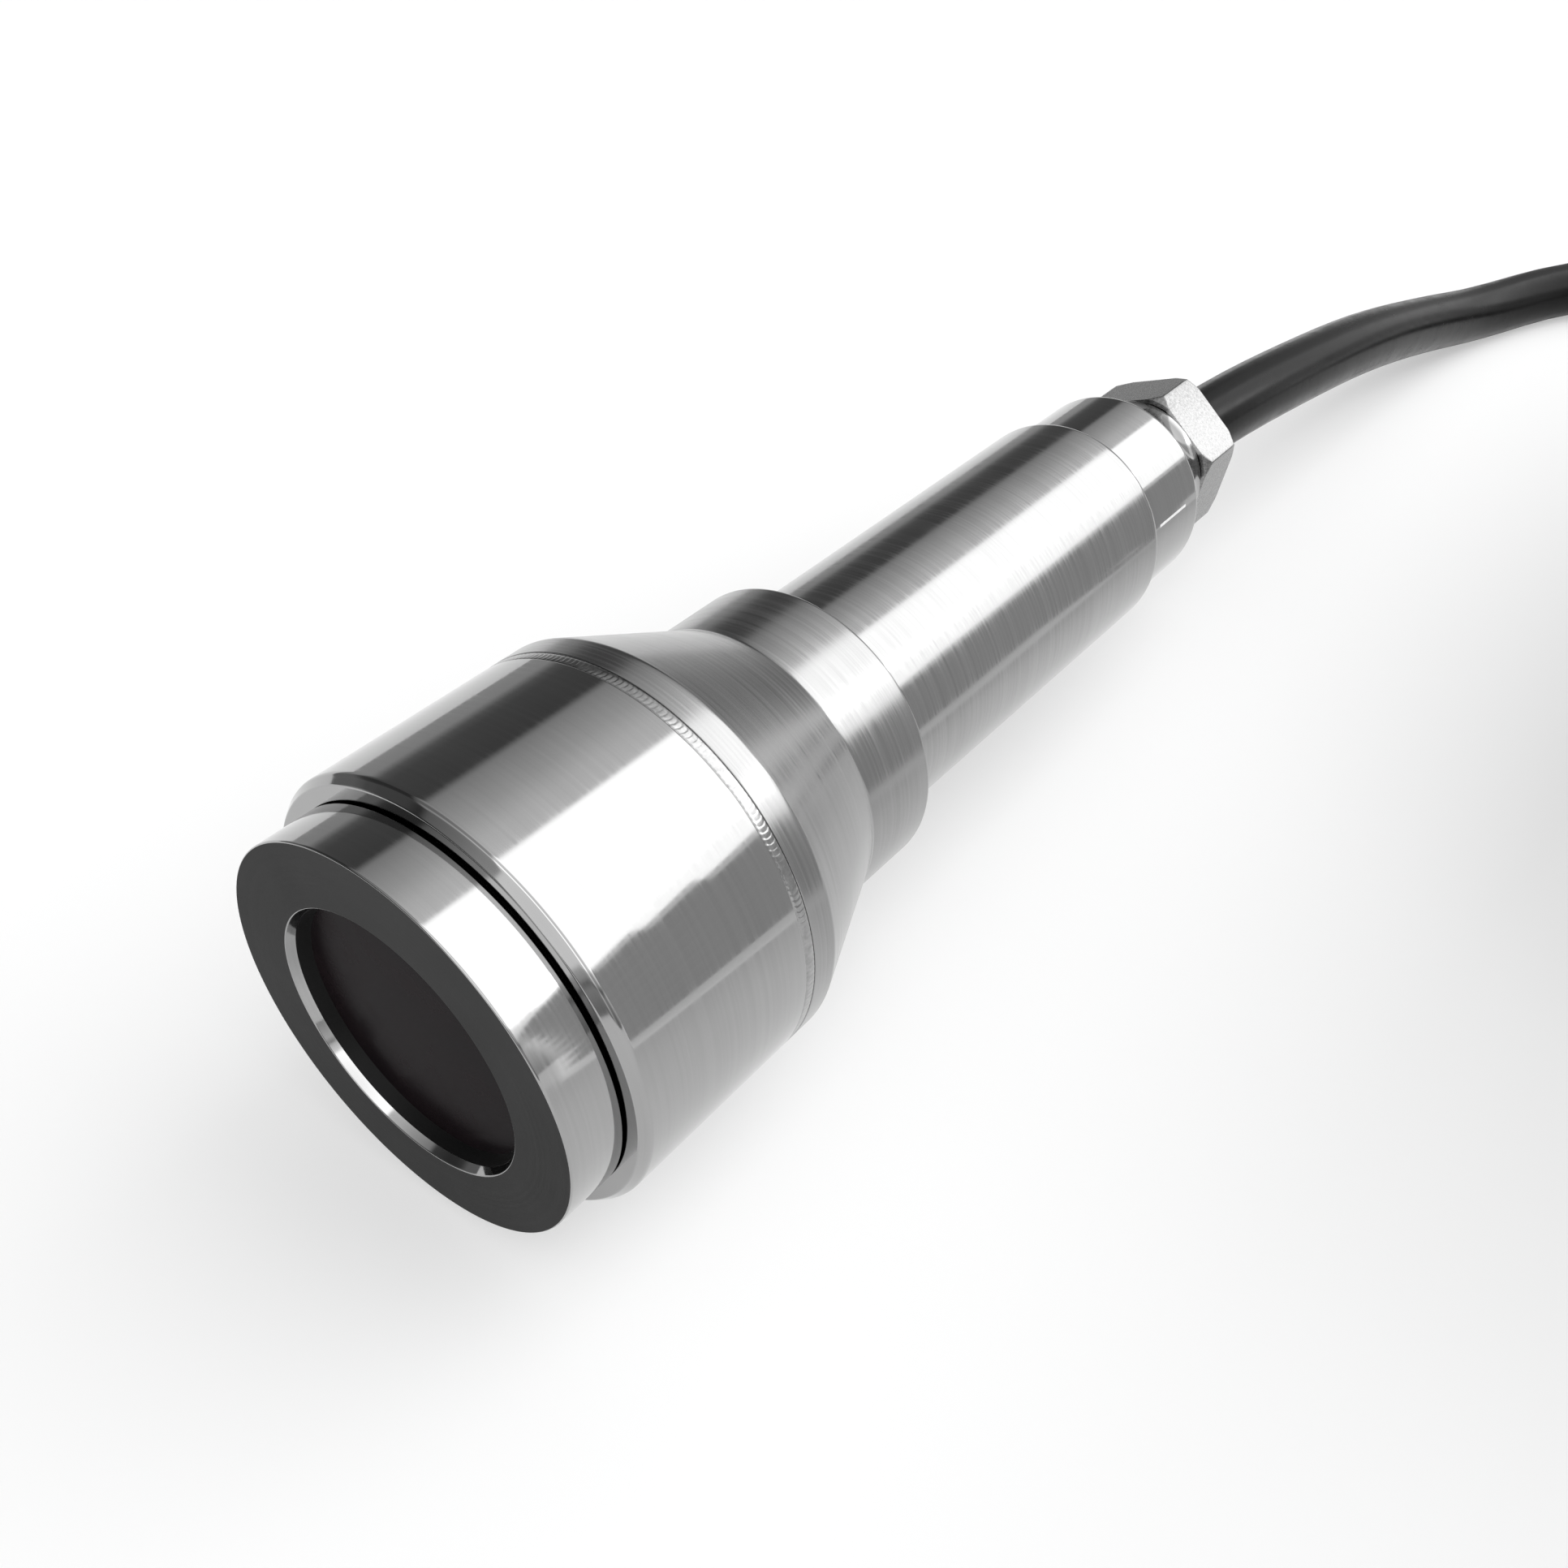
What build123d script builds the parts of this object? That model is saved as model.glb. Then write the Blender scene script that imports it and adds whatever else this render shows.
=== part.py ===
from build123d import *
import os
from math import cos, pi, radians, sin, tan

# Submersible level transmitter: a turned steel probe with a wide measuring head, a slim body tube and a
# cable gland, lying on its side with its cable running away from it to a stored hank.
# Lengths are in millimetres. Along the probe, s is the distance from its front face, and every turned
# piece is described by (s, radius) corners about the probe's axis.

# Sizes of the front ring, which screws into the head and holds the measuring cell
ring_flange = 1.9
ring_length = 6.0
lip_overlap = 2.2
opening_bevel = 0.4
lip_thickness = 0.9
ring_edge_break = 0.25
spigot_inset = 4.1
ring_wall = 2.3

# Sizes of the measuring cell and of what it sits between
seal_thickness = 1.3
seal_slope = 0.35
diaphragm_thickness = 0.5
cell_thickness = 6.0
support_wall = 4.6

# Sizes of the head
head_radius = 22.6
groove_width = 0.3
head_chamfer_width = 0.7
head_chamfer_length = 0.9
head_length = 22.1
head_wall = 4.6
shoulder_position = 14.0
shoulder_thickness = 2.5
shoulder_ledge = 4.2
ring_oring_section = 1.16

# Sizes of the weld between head and cone
weld_width = 1.3
weld_depth = 0.7

# Sizes of the cone and its neck
rim_length = 3.5
cone_length = 14.5
neck_wall = 2.9
neck_length = 9.8
neck_chamfer = 0.5
cone_wall = 3.4
cone_spigot_length = 2.0
tube_socket_depth = 6.0

# Sizes of the body tube
tube_radius = 13.5
tube_wall = 1.7
tube_length = 59.6
tube_end_round = 0.8

# Sizes of the cable gland
gland_step = 1.1
gland_length = 12.5
gland_edge_round = 0.6
gland_spigot_length = 6.0
gland_neck_length = 6.7
gland_neck_step = 1.5
thread_step = 4.5
gland_thread_length = 5.2
gland_undercut = 0.3
tube_oring_section = 1.6
nut_wall = 1.3
nut_length = 8.0
nut_rear_wall = 2.0
nut_chamfer = 1.6
nut_turn = 9.0
grommet_length = 8.0
grommet_wall = 1.8
washer_thickness = 1.0

# Clearances between pieces that seat in each other
fit_clearance = 0.05
cable_clearance = 0.15
face_gap = 0.1

# Sizes of the electronics inside
sensor_board_thickness = 1.2
carrier_thickness = 4.0
board_length = 38.0
board_width = 18.0
board_thickness = 1.6
chip_height = 2.0
chip_lengths = (6.0, 4.0, 5.0)
terminal_length = 9.0
terminal_width = 16.0
terminal_height = 6.0
arrester_radius = 2.4
arrester_length = 7.0
lead_radius = 0.8
filter_radius = 2.4
filter_length = 3.0
inner_vent_radius = 0.9

# Sizes of the cable, its hank and its stripped end
cable_diameter = 9.6
hank_centre_x = 122.0
hank_centre_y = -140.0
hank_run = 104.0
hank_fold_radius = 29.0
hank_pitch = 9.7
hank_layers = 5
hank_rise = 92.6
hank_inlet = 50.0
last_run = 29.0
tie_width = 20.0
tie_thickness = 1.2
tail_length = 34.0
sleeve_wall = 0.5
sleeve_length = 24.0
conductor_radius = 1.0
conductor_length = 26.0
conductor_ring = 2.6
ferrule_radius = 0.8
ferrule_length = 8.0
vent_tube_radius = 1.1
vent_tube_length = 20.0

# Positions along the probe that follow from the sizes
head_front = ring_length + groove_width
head_rear = head_front + head_length
cone_front = head_rear + rim_length
neck_front = cone_front + cone_length
neck_rear = neck_front + neck_length
tube_front = neck_rear - tube_socket_depth
tube_rear = tube_front + tube_length
gland_rear = tube_rear + gland_length
neck_end = gland_rear + gland_neck_length
thread_end = neck_end + gland_thread_length
nut_front = neck_end + gland_undercut
nut_rear = nut_front + nut_length
probe_length = nut_rear

# Radii that follow from the sizes
spigot_radius = head_radius - spigot_inset
ring_radius = spigot_radius + ring_flange
pocket_radius = spigot_radius - ring_wall
opening_radius = pocket_radius - lip_overlap
bevel_radius = opening_radius - opening_bevel
shoulder_hole_radius = pocket_radius - shoulder_ledge
head_cavity_radius = head_radius - head_wall
neck_radius = tube_radius + neck_wall
gland_radius = tube_radius - gland_step
gland_thread_radius = gland_radius - thread_step
gland_neck_radius = gland_thread_radius + gland_neck_step
nut_across_flats = 2 * (gland_thread_radius + nut_wall)
cell_radius = pocket_radius - fit_clearance
ring_bore_radius = spigot_radius + fit_clearance
oring_bore_radius = spigot_radius + ring_oring_section + fit_clearance
tube_bore_radius = tube_radius - tube_wall
gland_spigot_radius = tube_bore_radius - fit_clearance
cone_spigot_radius = head_cavity_radius - fit_clearance
cable_radius = cable_diameter / 2
cable_hole_radius = cable_radius + cable_clearance
grommet_radius = cable_radius + grommet_wall
sleeve_radius = cable_radius + sleeve_wall
nut_corner_radius = nut_across_flats / 2 / cos(radians(30))

# Stack of pieces behind the lip
seal_front = lip_thickness
diaphragm_front = seal_front + seal_thickness
cell_front = diaphragm_front + diaphragm_thickness
cell_rear = cell_front + cell_thickness

# Hank sizes that follow from its turns
hank_turn_radius = hank_fold_radius + (hank_layers - 1) * hank_pitch
hank_outer_radius = hank_turn_radius + cable_radius
hank_inner_radius = hank_fold_radius - cable_radius
hank_middle_radius = (hank_turn_radius + hank_fold_radius) / 2
hank_wall = hank_outer_radius - hank_inner_radius
hank_height = hank_rise + cable_diameter
hank_top = tie_thickness + hank_height
hank_end_x = hank_centre_x + hank_run / 2 + hank_turn_radius


def turned(*corners):
    """A solid of revolution about the probe's axis, from its (s, radius) corners in order."""
    return revolve(make_face(Polyline(*corners, close=True)), axis=Axis.X)


def ring(front, rear, inner, outer):
    """A plain turned ring between two distances and two radii."""
    return turned((front, inner), (rear, inner), (rear, outer), (front, outer))


def disc(front, rear, radius):
    """A plain turned disc between two distances."""
    return turned((front, 0), (rear, 0), (rear, radius), (front, radius))


def block(front, rear, width, low, high, across=0.0):
    """A box inside the probe, between two distances, two heights and about a side offset."""
    size = Box(rear - front, width, high - low)
    return Pos((front + rear) / 2, across, (low + high) / 2) * size


def rod(front, rear, radius, across=0.0, height=0.0):
    """A round rod along the probe, at a side offset and a height from the axis."""
    bar = Cylinder(radius, rear - front, rotation=(0, 90, 0))
    return Pos((front + rear) / 2, across, height) * bar


def seated(shape):
    """Moves a piece from the probe's own axis to where the probe lies on the ground."""
    return Pos(-probe_length / 2, 0, head_radius) * shape


def make_front_ring():
    """The clamping ring: a bevelled opening, a pocket for the cell and a spigot for the head's thread."""
    spigot_end = shoulder_position - groove_width
    return turned(
        (0, opening_radius),
        (lip_thickness, bevel_radius),
        (lip_thickness, pocket_radius),
        (spigot_end, pocket_radius),
        (spigot_end, spigot_radius),
        (ring_length, spigot_radius),
        (ring_length, ring_radius),
        (ring_edge_break, ring_radius),
        (0, ring_radius - ring_edge_break),
    )


def make_cell_seal():
    """The face seal between lip and diaphragm, with a sloping inner face that shows in the opening."""
    return turned(
        (seal_front, bevel_radius),
        (diaphragm_front, bevel_radius - seal_slope),
        (diaphragm_front, cell_radius),
        (seal_front, cell_radius),
    )


def make_support_ring():
    """The ring that carries the cell's back on the head's shoulder."""
    return ring(cell_rear, shoulder_position, cell_radius - support_wall, cell_radius)


def make_oring(front, section, inner_radius):
    """An O-ring just clear of the shaft radius given, with an eight-sided section."""
    centre = inner_radius + fit_clearance / 2 + section / 2
    outline = RegularPolygon(section / 2, 8)
    return revolve(Pos(front + section / 2, centre) * outline, axis=Axis.X)


def make_weld_bead():
    """The bead of the butt weld, seated in the groove that head and cone share."""
    return ring(head_rear - weld_width / 2, head_rear + weld_width / 2, head_radius - weld_depth, head_radius)


def make_head_housing():
    """The head: chamfered front edge, counterbore, threaded bore, cell shoulder and rear cavity."""
    counterbore_end = head_front + 2 * ring_oring_section
    shoulder_end = shoulder_position + shoulder_thickness
    return turned(
        (head_front, oring_bore_radius),
        (counterbore_end, oring_bore_radius),
        (counterbore_end, ring_bore_radius),
        (shoulder_position, ring_bore_radius),
        (shoulder_position, shoulder_hole_radius),
        (shoulder_end, shoulder_hole_radius),
        (shoulder_end, head_cavity_radius),
        (head_rear, head_cavity_radius),
        (head_rear, head_radius - weld_depth),
        (head_rear - weld_width / 2, head_radius - weld_depth),
        (head_rear - weld_width / 2, head_radius),
        (head_front + head_chamfer_length, head_radius),
        (head_front, head_radius - head_chamfer_width),
    )


def make_cone_adapter():
    """The cone: spigot into the head, welded rim, cone, neck and the socket for the body tube."""
    hollow_front = head_rear - cone_spigot_length
    hollow_radius = cone_spigot_radius - cone_wall / 2
    throat = tube_bore_radius - fit_clearance
    return turned(
        (hollow_front, hollow_radius),
        (cone_front, hollow_radius),
        (neck_front, throat),
        (tube_front, throat),
        (tube_front, tube_radius + fit_clearance),
        (neck_rear, tube_radius + fit_clearance),
        (neck_rear, neck_radius - neck_chamfer),
        (neck_rear - neck_chamfer, neck_radius),
        (neck_front, neck_radius),
        (cone_front, head_radius),
        (head_rear + weld_width / 2, head_radius),
        (head_rear + weld_width / 2, head_radius - weld_depth),
        (head_rear, head_radius - weld_depth),
        (head_rear, cone_spigot_radius),
        (hollow_front, cone_spigot_radius),
    )


def make_body_tube():
    """The slim tube that carries the electronics, with a rounded rear edge."""
    tube = ring(tube_front, tube_rear, tube_bore_radius, tube_radius)
    rear_edges = tube.edges().filter_by(GeomType.CIRCLE).group_by(Axis.X)[-1]
    outer_edge = rear_edges.sort_by(SortBy.RADIUS)[-1]
    return fillet(outer_edge, min(tube_end_round, tube_wall * 0.8))


def make_gland_body():
    """The gland: spigot with O-ring groove, collar, neck, threaded nose and the seat for the grommet."""
    spigot_front = tube_rear - gland_spigot_length
    groove_front = tube_rear - gland_spigot_length / 2 - tube_oring_section / 2
    groove_rear = groove_front + tube_oring_section
    groove_floor = gland_spigot_radius - tube_oring_section
    seat_front = thread_end - grommet_length
    seat_radius = grommet_radius + fit_clearance
    body = turned(
        (spigot_front, cable_hole_radius),
        (seat_front - washer_thickness, cable_hole_radius),
        (seat_front - washer_thickness, seat_radius),
        (thread_end, seat_radius),
        (thread_end, gland_thread_radius),
        (neck_end, gland_thread_radius),
        (neck_end, gland_neck_radius),
        (gland_rear, gland_neck_radius),
        (gland_rear, gland_radius),
        (tube_rear, gland_radius),
        (tube_rear, gland_spigot_radius),
        (groove_rear, gland_spigot_radius),
        (groove_rear, groove_floor),
        (groove_front, groove_floor),
        (groove_front, gland_spigot_radius),
        (spigot_front, gland_spigot_radius),
    )
    collar_edges = body.edges().filter_by(GeomType.CIRCLE).group_by(SortBy.RADIUS)[-1]
    return fillet(collar_edges.sort_by(Axis.X)[-1], gland_edge_round)


def make_grommet():
    """The rubber sleeve that the nut squeezes onto the cable."""
    return ring(thread_end - grommet_length, thread_end, cable_radius, grommet_radius)


def make_gland_washers():
    """Two thrust washers, one at each end of the grommet."""
    front = thread_end - grommet_length - washer_thickness
    return [ring(start, start + washer_thickness, cable_hole_radius, grommet_radius) for start in (front, thread_end)]


def make_gland_nut():
    """The hexagon nut: both ends turned to a round chamfer, a threaded bore and a smaller cable hole."""
    flats = RegularPolygon(nut_corner_radius, 6)
    hexagon = Rot(nut_turn, 0, 0) * Rot(0, 90, 0) * extrude(flats, nut_length)
    hexagon = Pos(nut_front, 0, 0) * hexagon
    face_radius = nut_across_flats / 2 - 0.2 * nut_chamfer
    envelope = turned(
        (nut_front, 0),
        (nut_front, face_radius),
        (nut_front + nut_chamfer, nut_corner_radius),
        (nut_rear - nut_chamfer, nut_corner_radius),
        (nut_rear, face_radius),
        (nut_rear, 0),
    )
    pocket_end = max(nut_rear - nut_rear_wall, thread_end + washer_thickness)
    bore = disc(nut_front, pocket_end, gland_thread_radius + fit_clearance)
    cable_hole = disc(nut_front, nut_rear, cable_hole_radius)
    return (hexagon & envelope) - bore - cable_hole


def make_cable_entry():
    """The cable's own straight stretch through the gland, up to the nut's rear face."""
    return disc(tube_rear - gland_spigot_length, nut_rear, cable_radius)


def board_span():
    """Where the circuit board starts and ends along the probe."""
    front = neck_rear - carrier_thickness
    return front, front + board_length


def make_board_carrier():
    """The plug at the tube's mouth that holds the board's front edge in a slot."""
    front, _ = board_span()
    slot = block(front, front + carrier_thickness, board_width + face_gap, -board_thickness / 2 - face_gap / 2,
                 board_thickness / 2 + face_gap / 2)
    return disc(front, front + carrier_thickness, tube_bore_radius - fit_clearance) - slot


def make_main_board():
    """The long circuit board along the tube."""
    front, rear = board_span()
    return block(front, rear, board_width, -board_thickness / 2, board_thickness / 2)


def make_board_parts():
    """The converter chips in a row on the board's upper face."""
    front, _ = board_span()
    top = board_thickness / 2
    first = front + carrier_thickness + chip_height
    chips = []
    for length in chip_lengths:
        chips.append(block(first, first + length, board_width / 2, top, top + chip_height))
        first += length + chip_height
    return chips


def make_surge_arresters():
    """Two gas arresters side by side under the board."""
    front, _ = board_span()
    start = front + carrier_thickness + arrester_radius
    height = -board_thickness / 2 - arrester_radius
    side = arrester_radius + 1.0
    return [rod(start, start + arrester_length, arrester_radius, across, height) for across in (-side, side)]


def make_terminal_block():
    """The block at the board's rear end, where the cable's wires are clamped."""
    _, rear = board_span()
    top = board_thickness / 2
    return block(rear - terminal_length, rear, terminal_width, top, top + terminal_height)


def make_inner_wires():
    """Wires from the gland's cable end to the terminal block, side by side."""
    _, rear = board_span()
    end = tube_rear - gland_spigot_length
    height = board_thickness / 2 + terminal_height / 2
    step = 2.6 * lead_radius
    return [rod(rear, end, lead_radius, across, min(height, cable_radius - lead_radius)) for across in (-step, 0, step)]


def make_inner_vent():
    """The vent capillary, from the cable's end back over the board to its filter."""
    _, rear = board_span()
    end = tube_rear - gland_spigot_length
    height = -board_thickness / 2 - inner_vent_radius
    return rod(rear - terminal_length, end, inner_vent_radius, 0, height)


def make_vent_filter():
    """The small membrane filter at the capillary's inner end."""
    _, rear = board_span()
    end = rear - terminal_length
    height = -board_thickness / 2 - filter_radius
    return rod(end - filter_length, end, filter_radius, 0, height)


def make_sensor_board():
    """The round board behind the measuring cell, on the support ring's inner ledge."""
    radius = cell_radius - support_wall - fit_clearance
    return disc(cell_rear, cell_rear + sensor_board_thickness, radius)


def make_sensor_leads():
    """Flexible leads from the cell's board to the carrier at the tube's mouth."""
    front, _ = board_span()
    start = cell_rear + sensor_board_thickness
    side = 3 * lead_radius
    return [rod(start, front, lead_radius, across, side) for across in (-side, 0, side)]


def cable_route():
    """The cable's corner points, from the nut, down to the ground and round to the hank's end."""
    ground = cable_radius + face_gap
    exit_x = probe_length / 2
    inlet_y = hank_centre_y + hank_inlet
    return [
        (exit_x, 0, head_radius),
        (84.0, 0, head_radius),
        (108.0, 0, 20.0),
        (134.0, -0.5, 16.6),
        (160.0, -2.0, 10.6),
        (184.0, -6.0, ground),
        (208.0, -15.0, ground),
        (230.0, -34.0, ground),
        (hank_end_x, inlet_y + last_run, ground),
        (hank_end_x, inlet_y, ground),
    ]


def bend_radii(route):
    """For each inner corner, the largest arc that its two runs have room for."""
    points = [Vector(*point) for point in route]
    radii = []
    for before, here, after in zip(points, points[1:], points[2:]):
        turn = radians((here - before).get_angle(after - here))
        shorter = min((here - before).length, (after - here).length)
        radii.append(0.45 * shorter / tan(turn / 2))
    return radii


def make_cable_lead():
    """The cable's free stretch: straight runs joined by tangent arcs."""
    route = cable_route()
    radii = bend_radii(route)
    path = FilletPolyline(*route, radius=radii)
    tube = sweep(Plane(path @ 0, z_dir=path % 0) * Circle(cable_radius), path=path)
    print("cable arcs", [round(value) for value in radii])
    print("cable length", round(path.length, 1), "volume ratio", round(tube.volume / (pi * cable_radius**2 * path.length), 4))
    return tube


def make_cable_hank():
    """The stored hank as one closed oblong ring, with the cable's straight inlet joined to it."""
    outside = SlotCenterToCenter(hank_run, 2 * hank_outer_radius)
    inside = SlotCenterToCenter(hank_run, 2 * hank_inner_radius)
    turns = Pos(hank_centre_x, hank_centre_y, tie_thickness) * extrude(outside - inside, hank_height)
    begin = Plane((hank_end_x, hank_centre_y + hank_inlet, cable_radius + face_gap), z_dir=(0, -1, 0))
    return turns + extrude(begin * Circle(cable_radius), hank_inlet)


def make_hank_ties():
    """Two straps, one round each side of the hank at its middle."""
    outside = RectangleRounded(hank_wall + 2 * tie_thickness, hank_height + 2 * tie_thickness, tie_thickness)
    band = outside - Rectangle(hank_wall, hank_height)
    ties = []
    for side in (-1, 1):
        centre = (hank_centre_x, hank_centre_y + side * hank_middle_radius, tie_thickness + hank_height / 2)
        ties.append(extrude(Plane(centre, x_dir=(0, 1, 0), z_dir=(1, 0, 0)) * band, tie_width / 2, both=True))
    return ties


def tail_plane(distance):
    """A plane across the cable's end on top of the hank, at a distance along it."""
    start = hank_centre_x + tail_length + sleeve_length / 2
    height = hank_top + tie_thickness + sleeve_radius + face_gap
    return Plane((start - distance, hank_centre_y - hank_middle_radius, height), z_dir=(-1, 0, 0))


def make_cable_tail():
    """The last straight stretch of the cable, lying on the hank."""
    return extrude(tail_plane(0) * Circle(cable_radius), tail_length)


def make_end_sleeve():
    """The shrunk sleeve that closes the stripped jacket."""
    return extrude(tail_plane(tail_length) * Circle(sleeve_radius), sleeve_length)


def fanned(angle):
    """A conductor's place across the sleeve's face."""
    turn = radians(angle)
    return conductor_ring * cos(turn), conductor_ring * sin(turn)


def make_conductor(angle):
    """One insulated conductor that leaves the sleeve."""
    face = tail_plane(tail_length + sleeve_length)
    return extrude(face * Pos(*fanned(angle)) * Circle(conductor_radius), conductor_length)


def make_ferrules(angles):
    """The crimped ferrules on the conductors' ends, one for each."""
    face = tail_plane(tail_length + sleeve_length + conductor_length)
    return [extrude(face * Pos(*fanned(angle)) * Circle(ferrule_radius), ferrule_length) for angle in angles]


def make_vent_tube(angle):
    """The vent capillary's open end beside the conductors."""
    face = tail_plane(tail_length + sleeve_length)
    place = face * Pos(*fanned(angle))
    return extrude(place * Circle(vent_tube_radius), vent_tube_length) - extrude(
        place * Circle(vent_tube_radius / 2), vent_tube_length)


def write(name, shape, on_probe=True):
    """Saves one piece, or a list of like pieces, as its own node."""
    solids = shape if isinstance(shape, list) else [shape]
    if on_probe:
        solids = [seated(solid) for solid in solids]
    result = solids[0] if len(solids) == 1 else Compound(children=solids)
    export_step(result, f"parts/{name}.step")


os.makedirs("parts", exist_ok=True)
conductor_angles = (90.0, 210.0, 330.0)
conductor_names = ("conductor_supply", "conductor_signal", "conductor_screen")

write("front_ring", make_front_ring())
write("cell_seal", make_cell_seal())
write("diaphragm", disc(diaphragm_front, cell_front, cell_radius))
write("measuring_cell", disc(cell_front, cell_rear, cell_radius))
write("support_ring", make_support_ring())
write("ring_oring", make_oring(ring_length, ring_oring_section, spigot_radius))
write("head_housing", make_head_housing())
write("weld_bead", make_weld_bead())
write("cone_adapter", make_cone_adapter())
write("body_tube", make_body_tube())
write("tube_oring", make_oring(tube_rear - gland_spigot_length / 2 - tube_oring_section / 2, tube_oring_section,
                               gland_spigot_radius - tube_oring_section))
write("gland_body", make_gland_body())
write("gland_grommet", make_grommet())
write("gland_washers", make_gland_washers())
write("gland_nut", make_gland_nut())
write("cable_entry", make_cable_entry())
write("sensor_board", make_sensor_board())
write("sensor_leads", make_sensor_leads())
write("board_carrier", make_board_carrier())
write("main_board", make_main_board())
write("board_parts", make_board_parts())
write("surge_arresters", make_surge_arresters())
write("terminal_block", make_terminal_block())
write("inner_wires", make_inner_wires())
write("inner_vent", make_inner_vent())
write("vent_filter", make_vent_filter())
write("cable_lead", make_cable_lead(), on_probe=False)
write("cable_hank", make_cable_hank(), on_probe=False)
write("hank_ties", make_hank_ties(), on_probe=False)
write("cable_tail", make_cable_tail(), on_probe=False)
write("end_sleeve", make_end_sleeve(), on_probe=False)
for name, angle in zip(conductor_names, conductor_angles):
    write(name, make_conductor(angle), on_probe=False)
write("wire_ferrules", make_ferrules(conductor_angles), on_probe=False)
write("vent_tube", make_vent_tube(270.0), on_probe=False)
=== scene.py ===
# %% [markdown]
# A submersible level transmitter lies on a pale studio table: a turned steel probe with a wide measuring
# head, a welded cone, a slim brushed tube, and a gland from which a black cable runs to its stored hank.
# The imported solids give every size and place. This script dresses them: finer turned skins with small edge
# breaks, a rippled weld, steel finishes that follow the lathe, and a cable that lies under its own weight.

# %% The frame
import math

import bpy
import numpy as np
from mathutils import Matrix


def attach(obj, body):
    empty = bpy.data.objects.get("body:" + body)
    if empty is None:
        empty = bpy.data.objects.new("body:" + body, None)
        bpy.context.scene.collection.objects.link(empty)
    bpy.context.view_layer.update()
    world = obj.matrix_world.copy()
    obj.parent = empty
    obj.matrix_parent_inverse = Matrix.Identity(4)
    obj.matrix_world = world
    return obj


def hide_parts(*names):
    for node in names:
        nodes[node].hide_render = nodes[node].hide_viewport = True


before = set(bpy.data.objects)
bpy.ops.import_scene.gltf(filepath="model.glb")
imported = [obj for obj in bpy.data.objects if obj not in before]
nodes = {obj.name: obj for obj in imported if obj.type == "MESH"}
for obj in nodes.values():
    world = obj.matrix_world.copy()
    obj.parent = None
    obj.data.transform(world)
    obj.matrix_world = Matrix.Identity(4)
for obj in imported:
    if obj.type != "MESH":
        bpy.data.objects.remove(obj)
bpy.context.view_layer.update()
print("solids in the frame:", len(nodes))

# %% [markdown]
# The probe's own sizes are in millimetres, as the solids have them. They could be measured off the solids'
# meshes, but a named number is easier to read and to check. Along the probe, s is the distance from its
# front face. The axis lies one head radius above the table, and the middle of the length is at x = 0. Each
# further size stands in the cell that first needs it.

# %% Driving sizes
HEAD_RADIUS = 22.6
PROBE_LENGTH = 137.3
print("probe length", PROBE_LENGTH, "mm, head diameter", 2 * HEAD_RADIUS, "mm")

# %% [markdown]
# The camera stands close over the measuring face, so the probe runs away from it in strong perspective. It
# could be moved by eye until the view fits. Here its place, heading and focal length were worked out from
# the probe's circular edges, because the outline of a circle tells how it is tilted and how far off it is.
# The camera has no roll, and a small upward shift stands for the photograph's framing.

# %% Camera
FOCAL_PIXELS = 1870.0
FRAME_PIXELS = 1932.0
SHIFT_PIXELS = 134.0
SENSOR_WIDTH = 36.0
CAMERA_HEADING = math.radians(-51.77)
CAMERA_ELEVATION = math.radians(43.3)
FRONT_FROM_CAMERA = (-32.91, -13.09, 128.84)


def camera_axes():
    """The camera's right, up and forward directions, from its heading a and its elevation e."""
    a, e = CAMERA_HEADING, CAMERA_ELEVATION
    right = np.array([math.cos(a), math.sin(a), 0.0])
    up = np.array([-math.sin(a) * math.sin(e), math.cos(a) * math.sin(e), math.cos(e)])
    forward = np.array([-math.sin(a) * math.cos(e), math.cos(a) * math.cos(e), -math.sin(e)])
    return right, up, forward


def add_camera():
    """Places the camera: the front face's middle, less its offset along right, up and forward."""
    right, up, forward = camera_axes()
    front = np.array([-PROBE_LENGTH / 2, 0.0, HEAD_RADIUS])
    across, above, ahead = FRONT_FROM_CAMERA
    place = (front - across * right - above * up - ahead * forward) / 1000
    data = bpy.data.cameras.new("camera")
    data.sensor_width = SENSOR_WIDTH
    data.lens = SENSOR_WIDTH * FOCAL_PIXELS / FRAME_PIXELS
    data.shift_y = SHIFT_PIXELS / FRAME_PIXELS
    data.clip_start = 0.005
    camera = bpy.data.objects.new("camera", data)
    turn = Matrix([[right[i], up[i], -forward[i]] for i in range(3)]).to_4x4()
    camera.matrix_world = Matrix.Translation(place) @ turn
    bpy.context.scene.collection.objects.link(camera)
    bpy.context.scene.camera = camera
    print("camera at", [round(float(v), 3) for v in place], "lens", round(data.lens, 1), "mm")


add_camera()

# %% [markdown]
# A material could be wired by hand in the shader editor. Here one helper adds a shader node with its
# settings, its constants and its links, so that a whole finish reads as a few lines. Colours are written as
# hex values as they look on a screen, and one function turns them into the linear values that a shader
# wants.

# %% Material helpers


def linear(code):
    """Linear colour of a screen colour written as hex."""
    channels = [int(code[i:i + 2], 16) / 255 for i in (0, 2, 4)]
    return [c / 12.92 if c <= 0.04045 else ((c + 0.055) / 1.055) ** 2.4 for c in channels] + [1.0]


def add(tree, kind, links=None, values=None, **settings):
    """Adds one shader node and gives its outputs: settings first, then constants, then links by input."""
    made = tree.nodes.new("ShaderNode" + kind)
    for name, value in settings.items():
        setattr(made, name, value)
    for socket, value in (values or {}).items():
        made.inputs[socket].default_value = value
    for socket, source in (links or {}).items():
        tree.links.new(source, made.inputs[socket])
    return made.outputs


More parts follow.
